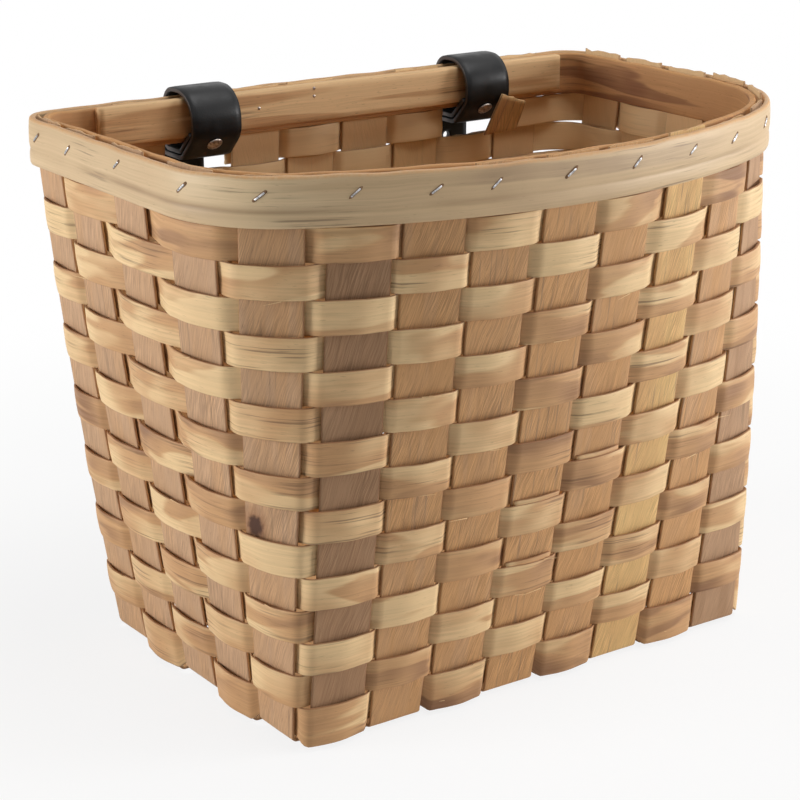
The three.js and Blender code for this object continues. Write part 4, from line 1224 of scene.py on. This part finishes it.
def rim_staples(wire_metal, dent_shadow_material):
    """One wire staple through the band at every stake, a third of the way down, each in a dark dent of
    painted shadow.
    """
    draw = random.Random(STAPLE_SEED)
    points, facing = [], []
    places = np.linspace(rim_start, rim_end, RIM_SAMPLES)
    line = rim_points(places)
    for i in range(WALLS):
        nearest = int(np.argmin(np.linalg.norm(line - head[i], axis=1)))
        distance = places[[nearest]] + draw.uniform(*STAPLE_DRIFT)
        place, out = rim_points(distance)[0], rim_outward(distance)[0]
        place = place + out * (RIM_STANDOFF + STAPLE_STANDOFF)
        drop = draw.uniform(-STAPLE_DROP_SPREAD, STAPLE_DROP_SPREAD)
        points.append((*place, rim_top - STAPLE_DROP + drop))
        facing.append((*out, 0))
    tree = staple_tree()
    scattered("rim_staples", points, facing, tree, {"Material": wire_metal}, "buckle_steel")
    # A darker, sunken copy of each staple: painted shadow in its dent
    points = np.array(points) - np.array(facing) * DENT_DEPTH
    scattered("staple_dent_shadows", points, facing, tree, {**DENT_SHAPE, "Material": dent_shadow_material}, "band_wood")


def lath_nails(material):
    """The nails that hold the lath, as places along it from its left end and below the rim's top."""
    points = [(lath_low.x + x, lath_low.y, rim_top - z) for x, z in LATH_NAILS]
    facing = [(0, -1, 0)] * len(points)
    return scattered("lath_nails", points, facing, nail_tree(), {"Material": material}, "rivet_metal")


def loose_end(x, tree, material, draw):
    """A loose splint end that leans on the right strap, inside the basket."""
    corner = np.array([x + STRAP_WIDTH / 2, lath_low.y, rim_bottom])
    share = np.linspace(0, 1, LOOSE_END_POINTS)[:, None]
    lower, upper = (
        corner + np.array(foot_end) * (1 - share) + np.array(cut_end) * share
        for foot_end, cut_end in LOOSE_END
    )
    out = np.tile(unit(np.array(LOOSE_END_OUT)), (len(share), 1))
    values = {**LOOSE_END_SHAPE, "Material": material}
    obj = splint("loose_splint_end", lower, upper, out, False, tree, values, tone=draw.random(),
                 shade=LOOSE_END_SHADE)
    return worn(obj, "basket", "stake_wood")


def loose_fibres(material):
    """Thin fibres that stand off the edges of the weavers."""
    draw = random.Random(FIBRE_SEED)
    points, facing = [], []
    for _ in range(FIBRE_COUNT):
        row = draw.randint(2, WEAVER_ROWS)
        i = draw.randrange(WALLS)
        if (i + row) % 2 == 0:
            i = (i + 1) % WALLS
        low, high = row_heights(row)
        z = low if draw.random() < FIBRE_LOWER_SHARE else high
        middle, along, out = walls_at(z)
        reach = WEAVE_HEIGHT + WEAVER_PILLOW + draw.uniform(0, FIBRE_STANDOFF)
        place = middle[i] + along[i] * draw.uniform(*FIBRE_DRIFT) + out[i] * reach
        points.append((*place, z))
        lean = draw.uniform(-FIBRE_LEAN, FIBRE_LEAN)
        direction = along[i] * draw.choice((-1, 1)) + out[i] * draw.uniform(*FIBRE_LIFT)
        facing.append((*direction, lean))
    return scattered("loose_fibres", points, facing, sliver_tree(), {"Material": material}, "weaver_wood")


# Materials

def linear(red, green, blue):
    """A colour written as it looks on screen, 0 to 255."""
    def channel(value):
        share = value / 255
        return share / 12.92 if share <= 0.04045 else ((share + 0.055) / 1.055) ** 2.4
    return (channel(red), channel(green), channel(blue), 1.0)


def strip_map(tree):
    """Places along and across a strip, from its own map."""
    along, across, _ = separated(tree, put(tree, "ShaderNodeUVMap", uv_map="strip").outputs[0])
    return along, across


def attribute(tree, name, output="Fac"):
    return put(tree, "ShaderNodeAttribute", attribute_name=name).outputs[output]


def object_place(tree):
    return put(tree, "ShaderNodeTexCoord").outputs["Object"]


def cloud_noise(tree, scale, detail=2.0):
    inputs = {"Vector": object_place(tree), "Scale": scale, "Detail": detail}
    return put(tree, "ShaderNodeTexNoise", inputs).outputs[0]


def mixed(tree, factor, a, b, blend="MIX"):
    inputs = {0: factor, 6: a, 7: b}
    return put(tree, "ShaderNodeMix", inputs, data_type="RGBA", blend_type=blend).outputs[2]


def bumped(tree, shader, height, strength, distance):
    bump = put(tree, "ShaderNodeBump", {"Strength": strength, "Distance": distance, "Height": height})
    tree.links.new(bump.outputs[0], shader.inputs["Normal"])


def new_material(name):
    material = bpy.data.materials.new(name)
    material.use_nodes = True
    tree = material.node_tree
    return material, tree, tree.nodes["Principled BSDF"]


GRAIN_OUTPUTS = ("Fibre", "Patch", "Blotch", "Streak", "Pores")


def grain_group():
    """Fibres, broad soft-edged patches, slow blotches, dark streaks and pores along a splint's own map."""
    tree = bpy.data.node_groups.new("splint grain", "ShaderNodeTree")
    group_in, group_out = interface(tree, [
        float_in("Fibre Length", 0.04), float_in("Fibre Width", 0.0008), float_in("Slant"),
        float_in("Waver", 0.002), float_in("Patch Length", 0.08), float_in("Patch Width", 0.016),
        float_in("Pore Amount", 0.5), *((name, "OUTPUT", "NodeSocketFloat", None) for name in GRAIN_OUTPUTS),
    ])
    size = group_in.outputs
    along, across = strip_map(tree)
    tone = attribute(tree, "tone")

    def field(side, length, width, seed, **kind):
        place = chained(tree, "DIVIDE", along, length), chained(tree, "DIVIDE", side, width)
        return noise(tree, combined(tree, *place, product(tree, tone, seed)), **kind)

    waver = product(tree, centred(tree, field(across, length=0.03, width=0.02, seed=71.0)), size["Waver"])
    slanted = sum_of(tree, across, product(tree, along, size["Slant"]), waver)
    clear = ramp(tree, field(across, length=0.03, width=0.02, seed=61.0), 0.35, 0.65, 0.45, 1.3)
    fibre = field(slanted, size["Fibre Length"], size["Fibre Width"], seed=53.0, detail=4.0, roughness=0.6)
    fibre = sum_of(tree, 0.5, product(tree, centred(tree, fibre), clear))
    patch = field(across, size["Patch Length"], size["Patch Width"], seed=17.0, roughness=0.4, distortion=0.7)
    patch = ramp(tree, patch, 0.49, 0.57)
    blotch = field(across, length=0.05, width=0.03, seed=91.0)
    some = ramp(tree, field(across, length=0.06, width=0.05, seed=11.0, detail=1.0), 0.5, 0.6)
    streak = ramp(tree, field(across, length=0.04, width=0.0012, seed=37.0, detail=4.0), 0.54, 0.68)
    pores = ramp(tree, field(slanted, length=0.0045, width=0.00042, seed=29.0), 0.64, 0.76)
    values = (fibre, patch, blotch, product(tree, streak, some), product(tree, pores, size["Pore Amount"]))
    for name, value in zip(GRAIN_OUTPUTS, values):
        tree.links.new(value, group_out.inputs[name])
    return tree


# What the woods share: how far streaks, pores and fibres show, and the deep tone as shares of the dark one
DEEP_SHARE = (0.72, 0.66, 0.6)
STREAK_COLOUR, STREAK_SHARE = linear(96, 74, 54), 0.7
PORE_SHADE = (0.35, 0.3, 0.26, 1)
PORE_SINK = -0.6
FIBRE_GLOW = 0.7
WOOD_SPECULAR = 0.35
WOOD_BUMP, WOOD_BUMP_SHARE, WOOD_BUMP_MOST = 0.0004, 1.2, 0.4
grain = grain_group()


def wood(name, sizes, tones, shares, fibre_depth, roughness):
    """Wood in tones from pale to dark by patch, blotch and the piece's own shade, with streaks and pores."""
    material, tree, shader = new_material(name)
    made = put(tree, "ShaderNodeGroup", node_tree=grain)
    for key, value in sizes.items():
        made.inputs[key].default_value = value
    fibre, patch, blotch, streak, pores = (made.outputs[output] for output in GRAIN_OUTPUTS)
    pale, warm, dark = (linear(*tone) for tone in tones)
    deep = (*(level * share for level, share in zip(dark, DEEP_SHARE)), 1.0)
    shade_share, patch_share, blotch_share = shares
    lean = sum_of(
        tree, product(tree, attribute(tree, "shade"), shade_share), product(tree, patch, patch_share),
        product(tree, centred(tree, blotch), blotch_share),
    )
    base = mixed(tree, ramp(tree, lean, 0.0, 0.5), pale, warm)
    base = mixed(tree, ramp(tree, lean, 0.5, 1.0), base, dark)
    # The deep tone for the darkest shades: dark wood, and on the first front stake partly painted shade
    base = mixed(tree, ramp(tree, lean, 1.3, 1.8), base, deep)
    base = mixed(tree, product(tree, streak, STREAK_SHARE), base, mixed(tree, 0.5, dark, STREAK_COLOUR))
    level = ramp(tree, fibre, 0.28, 0.72, 1 - fibre_depth, 1 + fibre_depth * FIBRE_GLOW)
    grey = put(tree, "ShaderNodeCombineColor", {0: level, 1: level, 2: level}).outputs[0]
    base = mixed(tree, 1.0, base, grey, "MULTIPLY")
    base = mixed(tree, pores, base, mixed(tree, 1.0, dark, PORE_SHADE, "MULTIPLY"))
    rough = ramp(tree, fibre, 0.3, 0.7, roughness + 0.1, roughness - 0.06)
    tree.links.new(rough, shader.inputs["Roughness"])
    shader.inputs["Specular IOR Level"].default_value = WOOD_SPECULAR
    height = sum_of(tree, fibre, product(tree, pores, PORE_SINK))
    bumped(tree, shader, height, min(fibre_depth * WOOD_BUMP_SHARE, WOOD_BUMP_MOST), WOOD_BUMP)
    return material, tree, shader, base


UPPER_EDGE_COLOUR = linear(148, 102, 68)
LOWER_EDGE_COLOUR = linear(132, 94, 64)
INNER_SHARE = 0.75
KNOT_HALO, KNOT_HEART = linear(140, 92, 62), linear(74, 46, 34)
KNOT_NOISE, KNOT_WAVER, KNOT_FLATNESS = 420.0, 0.0035, 1.25


def splint_wood(name, upper_edge, lower_edge, inner, **looks):
    """Splint wood with browner cut edges, which on the stakes also carry painted shade along their sides, a
    warmer inner face that is also paler as painted light inside the basket, and a knot where one is given.
    """
    material, tree, shader, base = wood(name, **looks)
    across = attribute(tree, "across")
    inside = ramp(tree, strip_map(tree)[1], 0.1, 0.2)
    # A warmer inner face, also made paler as painted light inside the basket
    base = mixed(tree, product(tree, inside, INNER_SHARE), base, linear(*inner))
    # Browner cut edges on both sides; on the stakes, which take the same share on both sides, this is painted
    # shade along their sides
    base = mixed(tree, ramp(tree, across, 0.93, 1.0, 0.0, upper_edge), base, UPPER_EDGE_COLOUR)
    base = mixed(tree, ramp(tree, across, -1.0, -0.93, lower_edge, 0.0), base, LOWER_EDGE_COLOUR)
    knot = attribute(tree, "knot", "Vector")
    along_x, side_y, has_knot = separated(tree, knot)
    swirl = noise(tree, scaled(tree, knot, KNOT_NOISE), 3.0)
    far = vector_length(tree, combined(tree, along_x, product(tree, side_y, KNOT_FLATNESS), 0.0))
    far = sum_of(tree, far, product(tree, centred(tree, swirl), KNOT_WAVER))
    halo = product(tree, has_knot, ramp(tree, far, 0.0035, 0.011, 0.65, 0.0))
    heart = product(tree, has_knot, ramp(tree, far, 0.003, 0.0058, 0.95, 0.0))
    base = mixed(tree, heart, mixed(tree, halo, base, KNOT_HALO), KNOT_HEART)
    tree.links.new(base, shader.inputs["Base Color"])
    return material


GROOVE_SHARE = 0.6
GROOVE_PATCHES = 11.0
SAWN_FUZZ = 700.0


def rim_wood(name, groove, top, **looks):
    """Rim wood with a dark line along its groove, here and there, and a browner sawn top edge."""
    material, tree, shader, base = wood(name, **looks)
    here = ramp(tree, cloud_noise(tree, GROOVE_PATCHES), 0.42, 0.62)
    fuzz = ramp(tree, cloud_noise(tree, SAWN_FUZZ), 0.3, 0.7, 0.55, 1.0)
    line = product(tree, attribute(tree, "groove"), here, GROOVE_SHARE)
    base = mixed(tree, line, base, linear(*groove))
    base = mixed(tree, product(tree, attribute(tree, "top"), fuzz), base, linear(*top))
    tree.links.new(base, shader.inputs["Base Color"])
    return material


def plain_wood(name, colour):
    """Wood in one tone."""
    material, tree, shader, base = wood(name, {}, [colour] * 3, (0, 0, 0), fibre_depth=0.2, roughness=0.8)
    tree.links.new(base, shader.inputs["Base Color"])
    return material


LEATHER_DARK, LEATHER_LIGHT, LEATHER_EDGE = linear(5, 5, 6), linear(11, 10, 11), linear(58, 46, 40)
LEATHER_PEBBLE, LEATHER_CLOUD = 1500.0, 160.0
LEATHER_SPECULAR = 0.27
LEATHER_BUMP, LEATHER_BUMP_STRENGTH = 0.0003, 0.25


def leather():
    """Smooth black leather with a fine pebble and brown cut edges."""
    material, tree, shader = new_material("black_leather")
    inputs = {"Vector": object_place(tree), "Scale": LEATHER_PEBBLE}
    pebble = put(tree, "ShaderNodeTexVoronoi", inputs, feature="SMOOTH_F1").outputs[0]
    cloud = cloud_noise(tree, LEATHER_CLOUD, 4.0)
    face = mixed(tree, ramp(tree, cloud, 0.3, 0.7), LEATHER_DARK, LEATHER_LIGHT)
    base = mixed(tree, ramp(tree, attribute(tree, "edge"), 0.4, 0.9), face, LEATHER_EDGE)
    tree.links.new(base, shader.inputs["Base Color"])
    tree.links.new(ramp(tree, cloud, 0.3, 0.7, 0.36, 0.5), shader.inputs["Roughness"])
    shader.inputs["Specular IOR Level"].default_value = LEATHER_SPECULAR
    height = sum_of(tree, product(tree, pebble, 0.5), product(tree, cloud, 0.6))
    bumped(tree, shader, height, LEATHER_BUMP_STRENGTH, LEATHER_BUMP)
    return material


SCUFF_NOISE = 900.0


def metal(name, bright, dull, roughness):
    """Plated wire or rivet metal with faint scuffs."""
    material, tree, shader = new_material(name)
    scuff = cloud_noise(tree, SCUFF_NOISE, 5.0)
    base = mixed(tree, ramp(tree, scuff, 0.35, 0.7), linear(*bright), linear(*dull))
    rough = ramp(tree, scuff, 0.3, 0.7, roughness - 0.08, roughness + 0.12)
    tree.links.new(base, shader.inputs["Base Color"])
    tree.links.new(rough, shader.inputs["Roughness"])
    shader.inputs["Metallic"].default_value = 1.0
    return material


weaver_wood = splint_wood(
    "weaver_wood", upper_edge=0.85, lower_edge=0.3, inner=(242, 206, 156),
    sizes={"Fibre Length": 0.05, "Fibre Width": 0.0011, "Pore Amount": 0.3},
    tones=((230, 197, 148), (199, 154, 108), (146, 106, 75)), shares=(0.3, 0.4, 1.7),
    fibre_depth=0.11, roughness=0.58,
)
# The stakes' darker side edges are painted shade along the gaps beside them
stake_wood = splint_wood(
    "stake_wood", upper_edge=0.55, lower_edge=0.55, inner=(238, 198, 146),
    sizes={"Fibre Length": 0.012, "Fibre Width": 0.00045, "Slant": 0.28, "Waver": 0.006,
           "Patch Length": 0.12, "Patch Width": 0.012, "Pore Amount": 0.5},
    tones=((222, 184, 124), (202, 154, 104), (192, 155, 121)), shares=(0.95, 0.1, 0.5),
    fibre_depth=0.27, roughness=0.72,
)
band_wood = rim_wood(
    "band_wood", groove=(138, 106, 74), top=(208, 160, 110),
    sizes={"Fibre Length": 0.12, "Fibre Width": 0.0012, "Patch Length": 0.2, "Patch Width": 0.011,
           "Pore Amount": 0.25},
    tones=((222, 196, 156), (204, 175, 136), (160, 133, 104)), shares=(0.75, 0.2, 0.6),
    fibre_depth=0.09, roughness=0.5,
)
hoop_wood = rim_wood(
    "hoop_wood", groove=(150, 104, 70), top=(206, 154, 100),
    sizes={"Fibre Length": 0.09, "Fibre Width": 0.0009, "Patch Length": 0.15, "Patch Width": 0.012},
    tones=((232, 192, 142), (196, 146, 98), (138, 92, 62)), shares=(0.6, 0.36, 0.7),
    fibre_depth=0.11, roughness=0.65,
)
# Painted shadow for the staples' dents
dent_shadow_wood = plain_wood("dent_shadow_wood", (128, 98, 70))
black_leather = leather()
buckle_steel = metal("buckle_steel", (214, 214, 216), (176, 176, 178), 0.28)
staple_wire = metal("staple_wire", (206, 206, 208), (120, 118, 116), 0.3)
rivet_metal = metal("rivet_metal", (186, 174, 164), (128, 116, 108), 0.36)

# The basket. Each full row starts and ends behind one of two back stakes, whichever it passes on the inside.
# Each stake's tone, mostly its own wood; the first front stake's deep value is partly painted shade at the
# basket's left front corner
FRONT_SHADES = (1.8, 0.62, 0.57, 0.55, 0.6, 0.15, 0.6, 1.6)
SIDE_SHADES = (0.85, 0.92, 0.95, 0.9, 0.9)
SEAM_STAKES = (3, 4)
LAPS = ((10, 3), (12, 3), (9, 4))

draw = random.Random(2026)
splint_shape = splint_tree()
for k in range(FRONT_STAKES):
    front_to_back_stake(k, splint_shape, stake_wood, draw, FRONT_SHADES[k])
for j in range(SIDE_STAKES):
    side_to_side_stake(j, splint_shape, stake_wood, draw, SIDE_SHADES[j])

right_slot, left_slot = sorted(slot_walls)
back_run = list(range(right_slot + 1, left_slot))
front_run = [(left_slot + 1 + n) % WALLS for n in range(WALLS - len(back_run) - 2)]
weaver("weaver_row_01_front", 1, front_run, splint_shape, weaver_wood, draw)
weaver("weaver_row_01_back", 1, back_run, splint_shape, weaver_wood, draw)
for row in range(2, WEAVER_ROWS + 1):
    seam = back_wall[SEAM_STAKES[(row + back_wall[SEAM_STAKES[0]]) % 2]]
    full_run = [(seam + n) % WALLS for n in range(WALLS)]
    weaver(weaver_node(row), row, full_run, splint_shape, weaver_wood, draw)

rim_strip("outer_rim_band", BAND_PROFILE, 5, 0.0004, 0.0003, 0.52, band_wood, "band_wood")
rim_strip("inner_rim_hoop", HOOP_PROFILE, 8, 0.0005, 0.0003, 0.8, hoop_wood, "hoop_wood")
back_lath(hoop_wood)
rim_staples(staple_wire, dent_shadow_wood)
lath_nails(rivet_metal)
loose_end(head[back_wall[SLOT_STAKES[1]]][0], splint_shape, stake_wood, draw)
for n, (row, i) in enumerate(LAPS):
    weaver_lap(f"weaver_lap_{n + 1}", row, i, splint_shape, weaver_wood, draw)
loose_fibres(weaver_wood)

for side, k in zip(("left", "right"), SLOT_STAKES):
    strap_x = head[back_wall[k]][0]
    strap(side, strap_x, black_leather)
    strap_rivet(side, strap_x, rivet_metal)
    buckle_frame(side, strap_x, buckle_steel)
    buckle_prong(side, strap_x, buckle_steel)

# Camera
CAMERA_PLACE = Vector((-0.55962, -0.77995, 0.41749))
CAMERA_TARGET = Vector((-0.01821, 0.00483, 0.10974))
CAMERA_ROLL = math.radians(-0.22)
CAMERA_LENS = 99.0
CAMERA_NEAR = 0.01


def photo_camera():
    camera = linked("camera", bpy.data.cameras.new("camera"))
    camera.data.lens = CAMERA_LENS
    camera.data.clip_start = CAMERA_NEAR
    back = (CAMERA_PLACE - CAMERA_TARGET).normalized()
    level = Vector((0, 0, 1)).cross(back).normalized()
    up = back.cross(level)
    right = level * math.cos(CAMERA_ROLL) + up * math.sin(CAMERA_ROLL)
    up = back.cross(right)
    turned = Matrix((right, up, back)).transposed().to_4x4()
    camera.matrix_world = Matrix.Translation(CAMERA_PLACE) @ turned
    bpy.context.scene.camera = camera


# Light, floor and background
LIGHT_TARGET = Vector((0.0, 0.0, 0.12))
AMBIENT = 0.08
WHITE = (1, 1, 1, 1)
FLOOR_GREY = (0.88, 0.88, 0.88, 1)
FLOOR_REACH = 3.0
FLOOR_DROP = 0.0002
FLOOR_NEAR, FLOOR_FAR, FLOOR_NEAR_WHITE = 0.18, 0.6, 0.84


def soft_light(name, place, size, power):
    light = bpy.data.lights.new(name, "AREA")
    light.shape = "DISK"
    light.size = size
    light.energy = power
    obj = linked(name, light)
    obj.location = place
    obj.rotation_euler = (LIGHT_TARGET - Vector(place)).to_track_quat("-Z", "Y").to_euler()


def seen_rays(tree):
    """One for rays from the camera, from gloss and through glass, which see plain white."""
    path = put(tree, "ShaderNodeLightPath").outputs
    return chained(tree, "MAXIMUM", path["Is Camera Ray"], path["Is Glossy Ray"], path["Is Transmission Ray"])


def white_world():
    world = bpy.data.worlds.new("studio")
    bpy.context.scene.world = world
    world.use_nodes = True
    tree = world.node_tree
    background = tree.nodes["Background"]
    background.inputs["Color"].default_value = WHITE
    strength = ramp(tree, seen_rays(tree), 0.0, 1.0, AMBIENT, 1.0)
    tree.links.new(strength, background.inputs["Strength"])


def pale_floor():
    """A floor that takes shadows near the basket and fades to white away from it."""
    mesh = bpy.data.meshes.new("floor")
    corners = [(-1, -1), (1, -1), (1, 1), (-1, 1)]
    level = cad_low.z - FLOOR_DROP
    mesh.from_pydata([(x * FLOOR_REACH, y * FLOOR_REACH, level) for x, y in corners], [], [(0, 1, 2, 3)])
    floor = linked("floor", mesh)
    material = bpy.data.materials.new("floor")
    material.use_nodes = True
    tree = material.node_tree
    tree.nodes.clear()
    matt = put(tree, "ShaderNodeBsdfDiffuse", {"Color": FLOOR_GREY})
    glow = put(tree, "ShaderNodeEmission", {"Color": WHITE, "Strength": 1.0})
    far = vector_length(tree, object_place(tree))
    share = product(tree, seen_rays(tree), ramp(tree, far, FLOOR_NEAR, FLOOR_FAR, FLOOR_NEAR_WHITE, 1.0))
    blend = put(tree, "ShaderNodeMixShader", {0: share, 1: matt.outputs[0], 2: glow.outputs[0]})
    put(tree, "ShaderNodeOutputMaterial", {"Surface": blend.outputs[0]})
    mesh.materials.append(material)


photo_camera()
soft_light("left softbox", (-1.45, 0.5, 0.4), 0.8, 16)
soft_light("right softbox", (1.35, -0.85, 0.34), 0.8, 20)
soft_light("top light", (0.3, -0.3, 1.5), 1.0, 11)
white_world()
pale_floor()

bpy.context.scene.view_settings.view_transform = "Standard"
